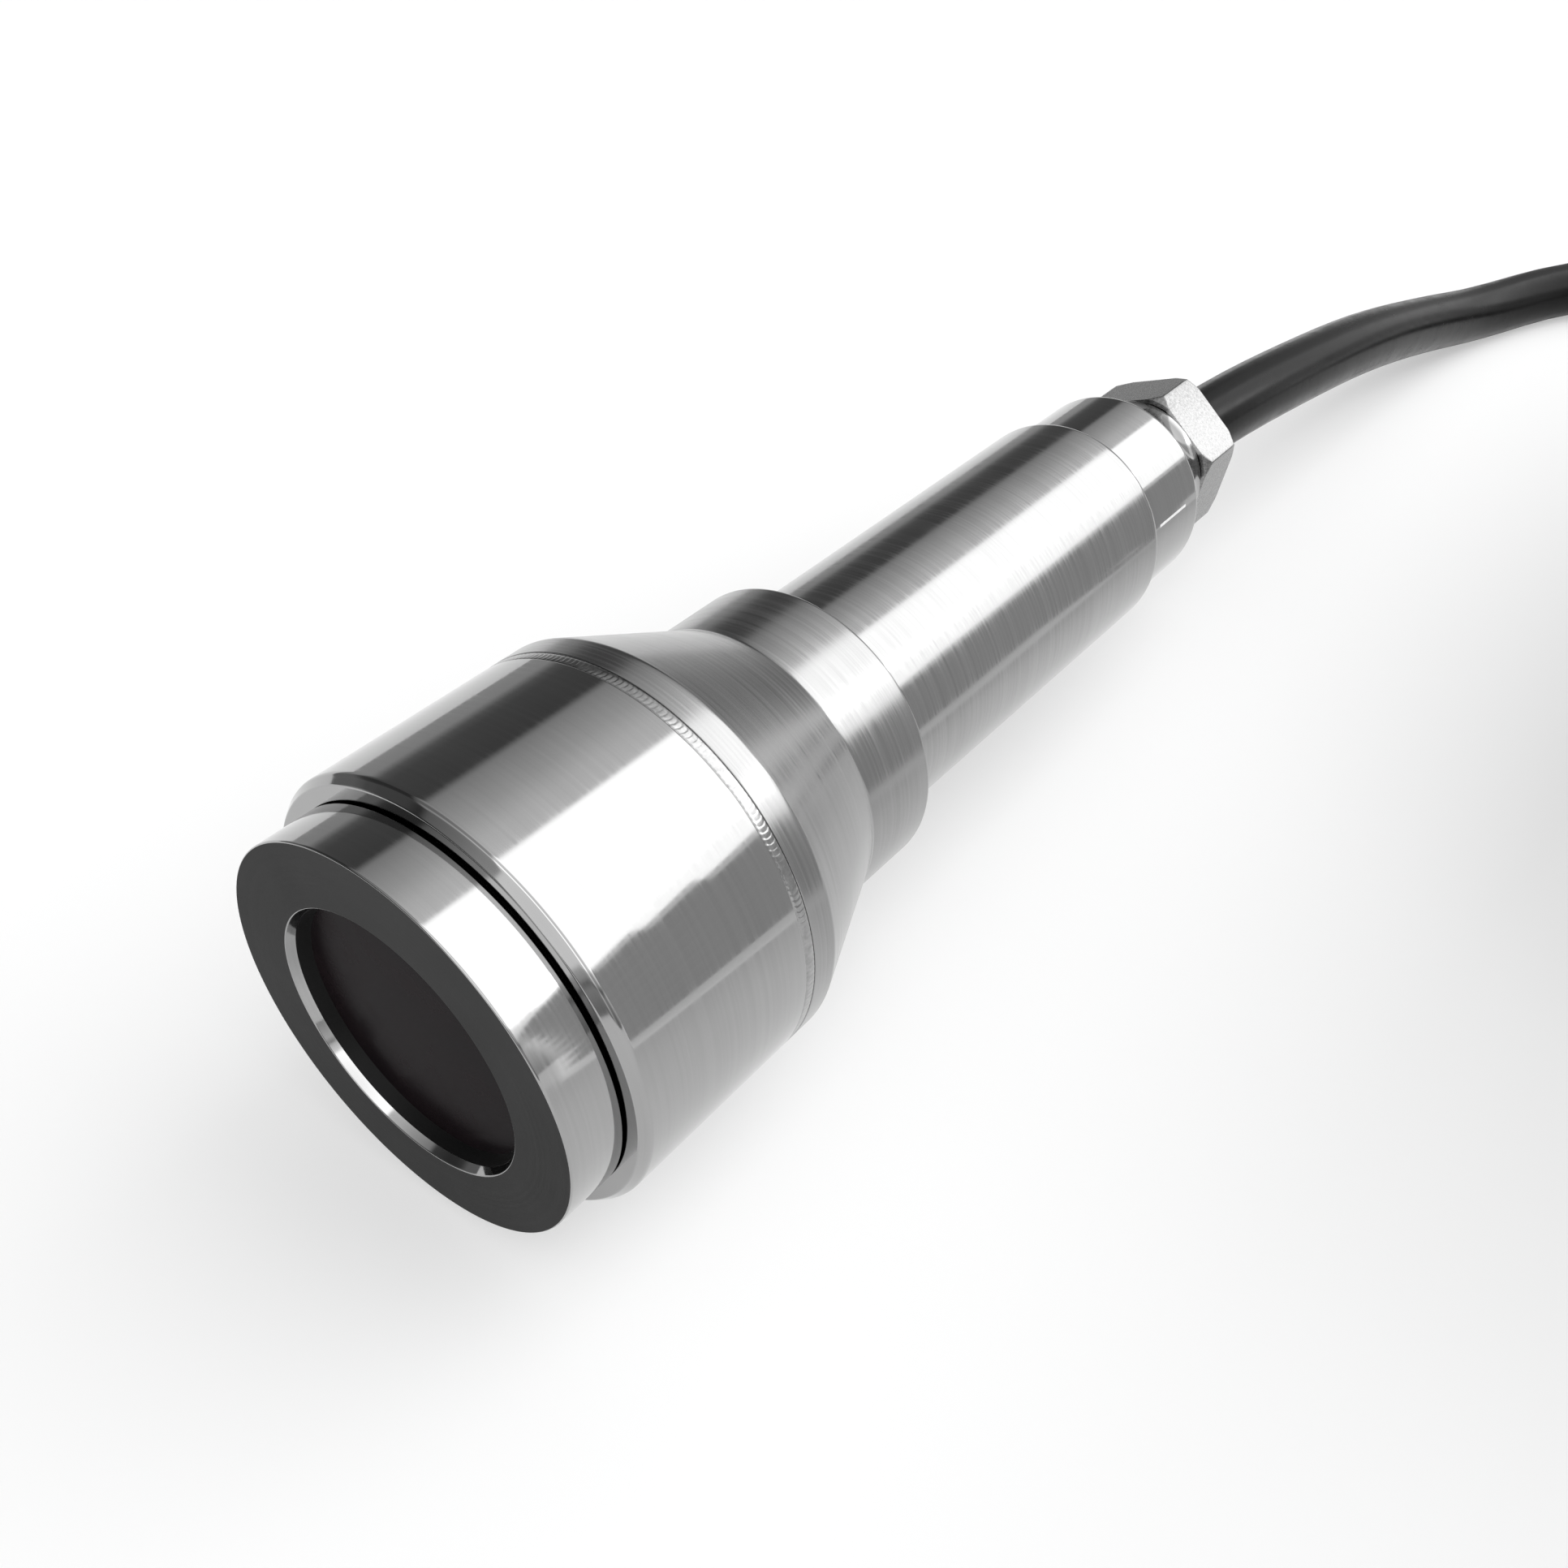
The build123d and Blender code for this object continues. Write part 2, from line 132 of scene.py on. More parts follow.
def start_material(name, colour, metal, roughness):
    """A new material, its tree and its shader with constant values set on the shader itself."""
    material = bpy.data.materials.new(name)
    material.use_nodes = True
    tree = material.node_tree
    shader = tree.nodes["Principled BSDF"]
    shader.inputs["Base Color"].default_value = linear(colour)
    shader.inputs["Metallic"].default_value = metal
    shader.inputs["Roughness"].default_value = roughness
    return material, tree, shader


print("a screen's middle grey as a linear value:", round(linear("808080")[0], 3))

# %% [markdown]
# A lathe leaves its marks as rings round the axis, so a turned finish needs to know where a point lies
# along the axis and round it. A UV map could tell that. Object coordinates are simpler here, because they
# are the frame's own metres, and a tool mark keeps its real size on every piece.

# %% Place on the probe


def probe_place(tree):
    """Sockets for x, y, the height over the axis, and the distance from the axis, all in metres."""
    parts = add(tree, "SeparateXYZ", {0: add(tree, "TexCoord")["Object"]})
    height = add(tree, "Math", {0: parts["Z"]}, {1: HEAD_RADIUS / 1000}, operation="SUBTRACT")[0]
    across = add(tree, "CombineXYZ", {"Y": parts["Y"], "Z": height})[0]
    reach = add(tree, "VectorMath", {0: across}, operation="LENGTH")["Value"]
    return parts["X"], parts["Y"], height, reach


def pattern(tree, sockets, scale, detail):
    """Noise over three sockets, each times its own scale; one unit is about one grain."""
    place = add(tree, "CombineXYZ", dict(zip("XYZ", sockets)))[0]
    units = add(tree, "VectorMath", {0: place}, {1: scale}, operation="MULTIPLY")[0]
    return add(tree, "TexNoise", {"Vector": units}, {"Scale": 1.0, "Detail": detail, "Roughness": 0.6})["Fac"]


def stretched(low, high):
    """Constants that stretch a noise value's usual range, 0.3 to 0.7, to a low and a high value."""
    return {"From Min": 0.3, "From Max": 0.7, "To Min": low, "To Max": high}


# %% [markdown]
# Turned steel is a bright metal whose grain changes fast along the probe and slowly round it. The noise is
# therefore squeezed along the axis to the width of a tool mark and stretched round it. The same rings steer
# roughness, colour and a very shallow relief, and the anisotropy spreads each highlight across the rings.
# The real marks are 0.05 to 0.1 mm apart. They are drawn about three times as coarse, so that they show. A
# second, broad noise, one patch in about 11 mm, adds the faint haze that handling leaves.

# %% Turned steel
HAZE_SCALE = 90.0


def turned_steel(name, dark, light, smooth, rough, ring_mm, depth_mm, stretch, facing=False):
    """Steel with lathe rings; on a flat face the distance from the axis takes the place of x.

    Such a face is dull, and its gloss at low angles is tinted down as painted shade, which keeps it dark.
    """
    material, tree, shader = start_material(name, light, 1.0, smooth)
    x, y, height, reach = probe_place(tree)
    along = reach if facing else x
    rings = pattern(tree, (along, y, height), (1000 / ring_mm, stretch, stretch), 3.0)
    haze = pattern(tree, (x, y, height), (HAZE_SCALE, HAZE_SCALE, HAZE_SCALE), 2.0)
    ringed = add(tree, "MapRange", {"Value": rings}, stretched(0.0, 0.6))["Result"]
    hazy = add(tree, "MapRange", {"Value": haze}, stretched(0.0, 0.4))["Result"]
    mixed = add(tree, "Math", {0: ringed, 1: hazy}, operation="ADD")[0]
    colour = add(tree, "Mix", {0: mixed}, {6: linear(dark), 7: linear(light)}, data_type="RGBA")[2]
    gloss = add(tree, "MapRange", {"Value": rings}, stretched(smooth, rough))["Result"]
    relief = add(tree, "Bump", {"Height": rings}, {"Strength": 1.0, "Distance": depth_mm / 1000})["Normal"]
    tree.links.new(colour, shader.inputs["Base Color"])
    tree.links.new(gloss, shader.inputs["Roughness"])
    tree.links.new(relief, shader.inputs["Normal"])
    if facing:
        # The tint darkens the face's gloss: painted shade.
        shader.inputs["Specular Tint"].default_value = linear("bcbcbc")
    else:
        shader.inputs["Anisotropic"].default_value = 0.5
        down = add(tree, "Math", {0: height}, {1: -1.0}, operation="MULTIPLY")[0]
        tangent = add(tree, "CombineXYZ", {"Y": down, "Z": y})[0]
        tree.links.new(tangent, shader.inputs["Tangent"])
    return material


print("a patch of haze:", round(1000 / HAZE_SCALE, 1), "mm")

# %% [markdown]
# The other surfaces are moulded, ground, fired or extruded, and their grain is even in all directions. Each
# could have a network of its own, but they differ only in colour, gloss and grain. So one noise of a real
# grain size varies colour and roughness a little and gives the relief.

# %% Even grain


def grained(name, dark, light, metal, roughness, grain_mm, depth_mm, specular=0.5):
    """A surface with an even grain of a real size."""
    material, tree, shader = start_material(name, light, metal, roughness)
    shader.inputs["Specular IOR Level"].default_value = specular
    unit = 1000 / grain_mm
    fine = pattern(tree, probe_place(tree)[:3], (unit, unit, unit), 3.0)
    share = add(tree, "MapRange", {"Value": fine}, stretched(0.0, 1.0))["Result"]
    colour = add(tree, "Mix", {0: share}, {6: linear(dark), 7: linear(light)}, data_type="RGBA")[2]
    gloss = add(tree, "MapRange", {"Value": fine}, stretched(roughness * 0.8, roughness * 1.2))["Result"]
    relief = add(tree, "Bump", {"Height": fine}, {"Strength": 1.0, "Distance": depth_mm / 1000})["Normal"]
    tree.links.new(colour, shader.inputs["Base Color"])
    tree.links.new(gloss, shader.inputs["Roughness"])
    tree.links.new(relief, shader.inputs["Normal"])
    return material


# %% [markdown]
# All outer steel is one stainless steel with different finishes. The front face is faced on a lathe
# and dull, and its colour is painted darker than the other steel as painted shade, so it stays dark. Head
# and ring are polished and mirror the studio in sharp bands. The cone keeps its turning scratches, the tube
# is finely brushed round, and the nut's flats are ground, which gives a mottled sparkle. The weld bead is
# smoother than the parent metal where it froze.

# %% Steel finishes
STEELS = (
    # The front face's steel has a darker colour than the rest: painted shade, because the face is dark from
    # how light falls on it.
    turned_steel("steel_faced_painted_shade", "464646", "525252", 0.38, 0.50, 0.30, 0.002, 12, facing=True),
    turned_steel("steel_turned_polished", "a0a0a0", "a8a8a8", 0.05, 0.10, 0.40, 0.0004, 25),
    turned_steel("steel_turned_scratched", "949494", "a6a6a6", 0.15, 0.24, 0.30, 0.0010, 30),
    turned_steel("steel_brushed_round", "9a9a9a", "aaaaaa", 0.09, 0.18, 0.30, 0.0010, 40),
    grained("steel_ground_flats", "767676", "9c9c9c", 1.0, 0.27, 0.35, 0.006),
    grained("steel_weld_frozen", "969696", "acacac", 1.0, 0.20, 0.6, 0.003),
)
print("steel finishes:", len(STEELS))

# %% [markdown]
# The gland's collar is polished like the head, and a short line is scribed into it along the axis. It could
# be cut into the mesh, but it is finer than the skin's faces, so it is drawn in the finish. It is a narrow
# box in the two directions of the surface: the angle round the axis, and the place along it. Inside it the
# metal is rough, because a scriber tears the skin, and its colour is painted nearly white as a painted
# highlight along the line.

# %% Scribed gland steel
GLAND_RADIUS = 12.4
SCRIBE_FROM = 112.3
SCRIBE_TO = 118.9
SCRIBE_ANGLE = 164.5
SCRIBE_WIDTH = 0.35


def scribed_steel(name):
    """Polished steel with one scribed line: rougher where both distances are small, and painted nearly white
    there as a painted highlight.
    """
    material = turned_steel(name, "a0a0a0", "a8a8a8", 0.06, 0.12, 0.35, 0.0005, 25)
    tree = material.node_tree
    shader = tree.nodes["Principled BSDF"]
    x, y, height, _ = probe_place(tree)
    angle = add(tree, "Math", {0: height, 1: y}, operation="ARCTAN2")[0]
    at_angle = {1: math.radians(SCRIBE_ANGLE), 2: SCRIBE_WIDTH / 2 / GLAND_RADIUS}
    near_angle = add(tree, "Math", {0: angle}, at_angle, operation="COMPARE")[0]
    middle = ((SCRIBE_FROM + SCRIBE_TO) / 2 - PROBE_LENGTH / 2) / 1000
    at_place = {1: middle, 2: (SCRIBE_TO - SCRIBE_FROM) / 2000}
    near_place = add(tree, "Math", {0: x}, at_place, operation="COMPARE")[0]
    mask = add(tree, "Math", {0: near_angle, 1: near_place}, operation="MULTIPLY")[0]
    # Inside the line the colour is nearly white: a painted highlight on the scribed mark.
    for socket, inside in (("Base Color", linear("f0f0f0")), ("Roughness", 0.6)):
        before = shader.inputs[socket].links[0].from_socket
        kind, first, last, out = ("RGBA", 6, 7, 2) if socket == "Base Color" else ("FLOAT", 2, 3, 0)
        after = add(tree, "Mix", {0: mask, first: before}, {last: inside}, data_type=kind)[out]
        tree.links.new(after, shader.inputs[socket])
    return material


scribed_steel("steel_polished_scribed")
print("scribed line", round(SCRIBE_TO - SCRIBE_FROM, 1), "mm long")

# %% [markdown]
# Everything that isn't steel. The diaphragm is dark lapped ceramic, nearly a mirror but weak. The seals are
# moulded rubber, matt. The cable's jacket is extruded polyurethane with slow waves along it, so its
# highlight breaks up. The plastics, boards and wires inside have their usual colours.

# %% Other finishes
OTHERS = (
    grained("ceramic_lapped_dark", "171315", "1d1719", 0.0, 0.25, 4.0, 0.0003, specular=0.02),
    grained("rubber_moulded_black", "0e0e0e", "161616", 0.0, 0.45, 0.2, 0.002, specular=0.15),
    grained("polyurethane_extruded_black", "080808", "0f0f0f", 0.0, 0.24, 4.0, 0.035, specular=0.08),
    grained("sleeve_shrunk_black", "0e0e0e", "171717", 0.0, 0.28, 2.0, 0.02),
    grained("ceramic_fired_white", "d8d5cc", "e6e3da", 0.0, 0.50, 0.4, 0.003),
    grained("plastic_moulded_tan", "9a8560", "a8926c", 0.0, 0.45, 0.5, 0.003),
    grained("laminate_masked_green", "12502a", "186234", 0.0, 0.35, 1.5, 0.004),
    grained("epoxy_moulded_chip", "17171a", "222226", 0.0, 0.50, 0.2, 0.004),
    grained("polyamide_moulded_green", "2c6b34", "347a3d", 0.0, 0.40, 0.6, 0.003),
    grained("pvc_extruded_red", "a01812", "b4221a", 0.0, 0.30, 1.0, 0.002),
    grained("pvc_extruded_white", "d8d8d4", "e8e8e4", 0.0, 0.30, 1.0, 0.002),
    grained("pvc_extruded_black", "141414", "202020", 0.0, 0.30, 1.0, 0.002),
    grained("copper_tinned", "b8b6b0", "cfcdc8", 1.0, 0.30, 0.3, 0.004),
    grained("ptfe_extruded_milky", "d2d0c4", "e2e0d4", 0.0, 0.32, 1.0, 0.002),
)
print("other finishes:", len(OTHERS))

# %% [markdown]
# Webbing has ribs along the strap, and each rib is a row of short floats of yarn. The floats step by half
# their length from rib to rib, like bricks. Yarns could be modelled, at some hundred thousand faces. They
# are too fine for that, so the weave is a relief worked out from the strap's own UV, which is in metres. The
# same height paints the colour darker in the hollows and lighter on the crowns, as painted shade and light.

# %% Woven webbing
STRAP_WIDTH = 20.0
RIB_WIDTH = 0.9
RIB_HEIGHT = 0.20


def woven(name, dark, light, thread_mm, depth_mm):
    """Height = |sin(pi v)| times (0.4 + 0.6 |sin(pi u)|), where v counts ribs and u counts floats.

    A float is two ribs' widths long, and each rib's floats are set off by half of one.
    """
    material, tree, shader = start_material(name, light, 0.0, 0.8)
    shader.inputs["Specular IOR Level"].default_value = 0.2
    parts = add(tree, "SeparateXYZ", {0: add(tree, "UVMap")["UV"]})
    ribs = add(tree, "Math", {0: parts["Y"]}, {1: 1000 / thread_mm}, operation="MULTIPLY")[0]
    rib = add(tree, "Math", {0: ribs}, operation="FLOOR")[0]
    shift = add(tree, "Math", {0: rib}, {1: 0.5}, operation="MULTIPLY")[0]
    per_metre = {1: 1000 / thread_mm / 2}
    floats = add(tree, "Math", {0: parts["X"], 2: shift}, per_metre, operation="MULTIPLY_ADD")[0]
    waves = []
    for count in (ribs, floats):
        angle = add(tree, "Math", {0: count}, {1: math.pi}, operation="MULTIPLY")[0]
        wave = add(tree, "Math", {0: angle}, operation="SINE")[0]
        waves.append(add(tree, "Math", {0: wave}, operation="ABSOLUTE")[0])
    crown = add(tree, "Math", {0: waves[1]}, {1: 0.6, 2: 0.4}, operation="MULTIPLY_ADD")[0]
    height = add(tree, "Math", {0: waves[0], 1: crown}, operation="MULTIPLY")[0]
    # The colour follows the height: darker in the weave's hollows and lighter on its crowns, painted shade and
    # light.
    colour = add(tree, "Mix", {0: height}, {6: linear(dark), 7: linear(light)}, data_type="RGBA")[2]
    relief = add(tree, "Bump", {"Height": height}, {"Strength": 1.0, "Distance": depth_mm / 1000})["Normal"]
    tree.links.new(colour, shader.inputs["Base Color"])
    tree.links.new(relief, shader.inputs["Normal"])
    return material


woven("webbing_woven_black", "060606", "262626", RIB_WIDTH, RIB_HEIGHT)
print("ribs across a strap:", round(STRAP_WIDTH / RIB_WIDTH))

# %% [markdown]
# The solids that keep their own shape only need their finish. Most of them lie inside the closed probe.
# They could be joined into one mesh, but each stays a piece of its own, so that it can be taken out and
# used again.

# %% Finishes of the solids
SOLID_FINISHES = {
    "ceramic_lapped_dark": ("diaphragm",),
    "rubber_moulded_black": ("cell_seal", "ring_oring", "tube_oring", "gland_grommet"),
    "steel_ground_flats": ("gland_washers",),
    "ceramic_fired_white": ("measuring_cell", "surge_arresters", "vent_filter"),
    "plastic_moulded_tan": ("support_ring", "board_carrier"),
    "laminate_masked_green": ("sensor_board", "main_board"),
    "epoxy_moulded_chip": ("board_parts",),
    "polyamide_moulded_green": ("terminal_block",),
    "polyurethane_extruded_black": ("cable_entry",),
    "sleeve_shrunk_black": ("end_sleeve",),
    "pvc_extruded_red": ("conductor_supply", "sensor_leads", "inner_wires"),
    "pvc_extruded_white": ("conductor_signal",),
    "pvc_extruded_black": ("conductor_screen",),
    "copper_tinned": ("wire_ferrules",),
    "ptfe_extruded_milky": ("vent_tube", "inner_vent"),
}


def dress(piece, *finishes):
    """Gives an object its finishes, in place of any it has."""
    piece.data.materials.clear()
    for finish in finishes:
        piece.data.materials.append(bpy.data.materials[finish])


for finish, names in SOLID_FINISHES.items():
    for solid in names:
        dress(nodes[solid], finish)
print("solids dressed:", sum(len(names) for names in SOLID_FINISHES.values()))

# %% [markdown]
# The cable leaves the gland straight, sinks to the table over a hand's breadth and bends round to its hank.
# The route repeats the solids' corner points, moved by a millimetre or two towards the photograph's line.
# The hank could be drawn as one thick ring, but its length and its end would be lost. It is wound turn by
# turn, layer inside layer, up and down in turn.

# %% Cable sizes
CABLE_DIAMETER = 9.6
GROUND = 4.9
HANK_CENTRE_X = 122.0
HANK_CENTRE_Y = -140.0
HANK_RUN = 104.0
HANK_FOLD = 29.0
HANK_PITCH = 9.7
HANK_LAYERS = 5
HANK_RISE = 92.6
HANK_INLET = 50.0
TIE_THICKNESS = 1.2
TAIL_LENGTH = 34.0
SLEEVE_LENGTH = 24.0
SLEEVE_RADIUS = 5.3
FACE_GAP = 0.1
HANK_OUTER = HANK_FOLD + (HANK_LAYERS - 1) * HANK_PITCH
HANK_ROWS = HANK_RISE / HANK_PITCH
HANK_END_X = HANK_CENTRE_X + HANK_RUN / 2 + HANK_OUTER
TAIL_HEIGHT = TIE_THICKNESS + HANK_RISE + CABLE_DIAMETER + TIE_THICKNESS + SLEEVE_RADIUS + FACE_GAP
LEAD_ROUTE = [
    (PROBE_LENGTH / 2, 0.0, HEAD_RADIUS),
    (84.0, -0.5, 22.1),
    (108.0, -1.4, 19.5),
    (134.0, -2.0, 15.6),
    (160.0, -3.0, 10.0),
    (184.0, -6.0, GROUND),
    (208.0, -15.0, GROUND),
    (230.0, -34.0, GROUND),
    (HANK_END_X, -61.0, GROUND),
    (HANK_END_X, HANK_CENTRE_Y + HANK_INLET, GROUND),
    (HANK_END_X, HANK_CENTRE_Y + HANK_INLET / 2, GROUND + TIE_THICKNESS / 2),
]
print("turns in the hank", round(HANK_LAYERS * HANK_ROWS, 1))

# %% [markdown]
# One turn of the hank is a long loop with two round ends. Its control points are worked out from the turn's
# own radius. At the round ends they lie a little outside the turns, by one over the cosine of half a step,
# because the smooth line cuts inside them. The inner turns are spread by another quarter of a millimetre,
# so that their bends stay as wide as three cable diameters.

# %% One turn
END_STEPS = 12
RUN_STEPS = 2
INNER_SPREAD = 0.25


def eased(t):
    """A smooth step from 0 to 1: t squared times three less two t."""
    t = np.clip(t, 0.0, 1.0)
    return t * t * (3 - 2 * t)


def turn_places():
    """Where one turn's control points lie, clockwise from the middle of the hank's +x end.

    At an end it is an angle, and on a run it is the share of half the run.
    """
    step = 180 / END_STEPS
    first_half = [(1, -step * (i + 0.5)) for i in range(END_STEPS // 2)]
    second_half = [(1, 90 - step * (i + 0.5)) for i in range(END_STEPS // 2)]
    far_end = [(-1, -90 - step * (i + 0.5)) for i in range(END_STEPS)]
    shares = [(i + 1) / (RUN_STEPS + 1) for i in range(RUN_STEPS)]
    far_run = [("far", 1 - 2 * share) for share in shares]
    near_run = [("near", 2 * share - 1) for share in shares]
    return first_half + far_run + far_end + near_run + second_half


def hank_point(place, radius, height):
    """A control point of a turn that has the given radius at the hank's ends."""
    side, value = place
    if side in ("near", "far"):
        across = radius if side == "near" else -radius
        return (HANK_CENTRE_X + value * HANK_RUN / 2, HANK_CENTRE_Y + across, height)
    spread = INNER_SPREAD * (HANK_OUTER - radius) / (HANK_OUTER - HANK_FOLD)
    reach = radius / math.cos(math.pi / END_STEPS / 2) + spread
    angle = math.radians(value)
    end_x = HANK_CENTRE_X + side * HANK_RUN / 2
    return (end_x + reach * math.cos(angle), HANK_CENTRE_Y + reach * math.sin(angle), height)


print("control points in a turn:", len(turn_places()))

# %% [markdown]
# The whole hank is many such turns. Each turn climbs or sinks by a little more than one cable diameter, and
# at the end of a layer the radius steps in by as much. The last half turn rises over the others and ends in
# its shrunk sleeve.

# %% The hank
STEP_IN_SHARE = 0.4
RISE_SHARE = 0.55
OUTWARD_FROM = 1.5
INTO_SLEEVE = 2.0


def hank_points():
    """Control points of the turns, layer inside layer, then over them to the straight tail."""
    places = turn_places()
    count = len(places)
    base = GROUND + TIE_THICKNESS
    whole = int(HANK_LAYERS * HANK_ROWS)
    near_middle = END_STEPS + END_STEPS // 2 + RUN_STEPS + RUN_STEPS // 2
    points = []
    for i in range(1, whole * count + near_middle + 1):
        wound = i / count
        layer = min(int(wound / HANK_ROWS), HANK_LAYERS - 1)
        within = min(wound - layer * HANK_ROWS, HANK_ROWS)
        step = eased((within - HANK_ROWS + STEP_IN_SHARE) / STEP_IN_SHARE) if layer < HANK_LAYERS - 1 else 0.0
        radius = HANK_OUTER - HANK_PITCH * (layer + step)
        rise = within if layer % 2 == 0 else HANK_ROWS - within
        points.append(hank_point(places[(i - 1) % count], radius, base + HANK_PITCH * rise))
    top = points[-1][2]
    middle = (HANK_OUTER + HANK_FOLD) / 2
    over = places[near_middle:] + places[:END_STEPS // 2]
    for k, place in enumerate(over, 1):
        rise = eased(k / (len(over) * RISE_SHARE))
        outward = eased((k - OUTWARD_FROM) / (len(over) - OUTWARD_FROM))
        radius = HANK_FOLD + (middle - HANK_FOLD) * outward
        points.append(hank_point(place, radius, top + (TAIL_HEIGHT - top) * rise))
    start = HANK_CENTRE_X + TAIL_LENGTH + SLEEVE_LENGTH / 2
    for reach in (0.0, TAIL_LENGTH / 2, TAIL_LENGTH + INTO_SLEEVE):
        points.append((start - reach, HANK_CENTRE_Y - middle, TAIL_HEIGHT))
    return points


# %% [markdown]
# The cable could be a round profile swept as a mesh. A curve with a round bevel is simpler: it takes the
# same points, stays smooth in every bend and doesn't twist. It is quadratic, so it touches the line between
# each two points at its middle, and straight stretches stay straight.

# %% Cable


def make_cable():
    """The whole cable as one smooth curve, in metres."""
    points = LEAD_ROUTE + hank_points()
    data = bpy.data.curves.new("cable", "CURVE")
    data.dimensions = "3D"
    data.bevel_depth = CABLE_DIAMETER / 2000
    data.bevel_resolution = 5
    data.resolution_u = 4
    data.use_fill_caps = True
    spline = data.splines.new("NURBS")
    spline.points.add(len(points) - 1)
    flat = np.ones((len(points), 4))
    flat[:, :3] = np.array(points) / 1000
    spline.points.foreach_set("co", flat.ravel())
    spline.order_u = 3
    spline.use_endpoint_u = True
    cable = bpy.data.objects.new("cable", data)
    bpy.context.scene.collection.objects.link(cable)
    dress(cable, "polyurethane_extruded_black")
    print("cable control points:", len(points))
    return cable


cable = make_cable()
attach(cable, "root")
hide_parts("cable_lead", "cable_hank", "cable_tail")

# %% [markdown]
# Two flat webbing straps hold the hank, one round each run. They could be plain closed bands. Real ones lap
# over, so here a strap goes once round its line, climbs over its own start and is sewn down there. The line
# is a rectangle whose round corners hug the outer cables. Each point of a strap is given by its length
# along the line, its place across and its height over the line.

# %% Line of a strap
STRAP_LAP = 28.0
STRAP_CLIMB = 6.0
CORNER_POINTS = 9
STRAP_MIDDLE = (HANK_OUTER + HANK_FOLD) / 2


def strap_line():
    """Length, y, z and the outward normal's angle along a strap's inner face, from the top of its +y side."""
    corners = [90.0 * quarter + np.linspace(0, 90, CORNER_POINTS) for quarter in range(4)]
    angles = np.radians(np.concatenate(corners + [[360.0]]))
    times = [CORNER_POINTS] * 4 + [1]
    side_y = np.repeat([1, -1, -1, 1, 1], times)
    side_z = np.repeat([1, 1, -1, -1, 1], times)
    y = side_y * (HANK_OUTER - HANK_FOLD) / 2 + CABLE_DIAMETER / 2 * np.cos(angles)
    z = side_z * HANK_RISE / 2 + CABLE_DIAMETER / 2 * np.sin(angles)
    steps = np.hypot(np.diff(y), np.diff(z))
    return np.concatenate([[0.0], np.cumsum(steps)]), y, z, angles


def strap_place(centre_y, length, across, out):
    """Frame places in metres: the line's point at a length, plus across along x and out along the normal."""
    lengths, y, z, angles = strap_line()
    length, across, out = np.broadcast_arrays(np.mod(length, lengths[-1]), across, out)
    angle = np.interp(length, lengths, angles)
    centre_z = TIE_THICKNESS + (HANK_RISE + CABLE_DIAMETER) / 2
    return np.stack([HANK_CENTRE_X + across,
                     centre_y + np.interp(length, lengths, y) + out * np.cos(angle),
                     centre_z + np.interp(length, lengths, z) + out * np.sin(angle)], axis=-1) / 1000


STRAP_ROUND = strap_line()[0][-1]
print("once round a run:", round(float(STRAP_ROUND), 1), "mm")

# %% [markdown]
# The strap's cross-section is a thin rectangle with round selvedges. A Solidify modifier could thicken a
# band, but its edges would be square, so the whole outline is carried along the line.

# %% Section of a strap
STRAP_EDGE = 0.5
EDGE_POINTS = 5
EDGE_SUPPORT = 0.3


def strap_section():
    """The section's (across, out) points, clockwise: quarter circles with supporting points beside them."""
    flat = STRAP_WIDTH / 2 - STRAP_EDGE
    arcs = []
    for side, out, first in ((-1, STRAP_EDGE, 270), (-1, TIE_THICKNESS - STRAP_EDGE, 180),
                             (1, TIE_THICKNESS - STRAP_EDGE, 90), (1, STRAP_EDGE, 0)):
        angles = np.radians(first - np.linspace(0, 90, EDGE_POINTS))
        across = side * flat + STRAP_EDGE * np.cos(angles)
        arcs.append(np.stack([across, out + STRAP_EDGE * np.sin(angles)], axis=1))
    beside = flat - EDGE_SUPPORT
    top = [(-beside, TIE_THICKNESS), (beside, TIE_THICKNESS)]
    return np.concatenate([[(-beside, 0.0)], arcs[0], arcs[1], top, arcs[2], arcs[3], [(beside, 0.0)]])


print("points round a strap:", len(strap_section()))

# %% [markdown]
# A stitch is a small spindle half sunk into the lap. Stitches could be drawn in the finish, but modelled
# ones catch the light and cost only 26 faces each. They run in a box with one diagonal.

# %% Stitches
STITCH_PITCH = 2.8
STITCH_HALF = 1.1
STITCH_RADIUS = 0.3
STITCH_SIDES = 6
STITCH_RINGS = np.array([-0.96, -0.7, 0.0, 0.7, 0.96])
SEAM = ((3.0, -7.0), (25.0, -7.0), (25.0, 7.0), (3.0, 7.0), (3.0, -7.0), (25.0, 7.0))


def stitch_places():
    """(along, across, out) of every stitch's rings; a ring's radius is that of a circle at its place."""
    ring = STITCH_RADIUS * np.sqrt(1 - STITCH_RINGS ** 2)[:, None]
    around = -np.arange(STITCH_SIDES) * math.pi * 2 / STITCH_SIDES
    stitches = []
    for start, end in zip(SEAM[:-1], SEAM[1:]):
        a, b = np.array(start), np.array(end)
        ahead = (b - a) / np.linalg.norm(b - a)
        count = int(np.linalg.norm(b - a) / STITCH_PITCH)
        for middle in a + (b - a) * ((np.arange(count) + 0.5) / count)[:, None]:
            forth = np.repeat(STITCH_HALF * STITCH_RINGS[:, None], STITCH_SIDES, axis=1)
            aside = ring * np.cos(around)
            stitches.append(np.stack([middle[0] + ahead[0] * forth - ahead[1] * aside,
                                      middle[1] + ahead[1] * forth + ahead[0] * aside,
                                      2 * TIE_THICKNESS + ring * np.sin(around)]))
    return stitches


print("stitches on a lap:", len(stitch_places()))

# %% [markdown]
# A strap and a stitch are both a closed section carried along a line, so both are a grid whose columns
# close on themselves, with a cap at each end. One function numbers the faces of such a grid.

# %% Faces of a closed strip


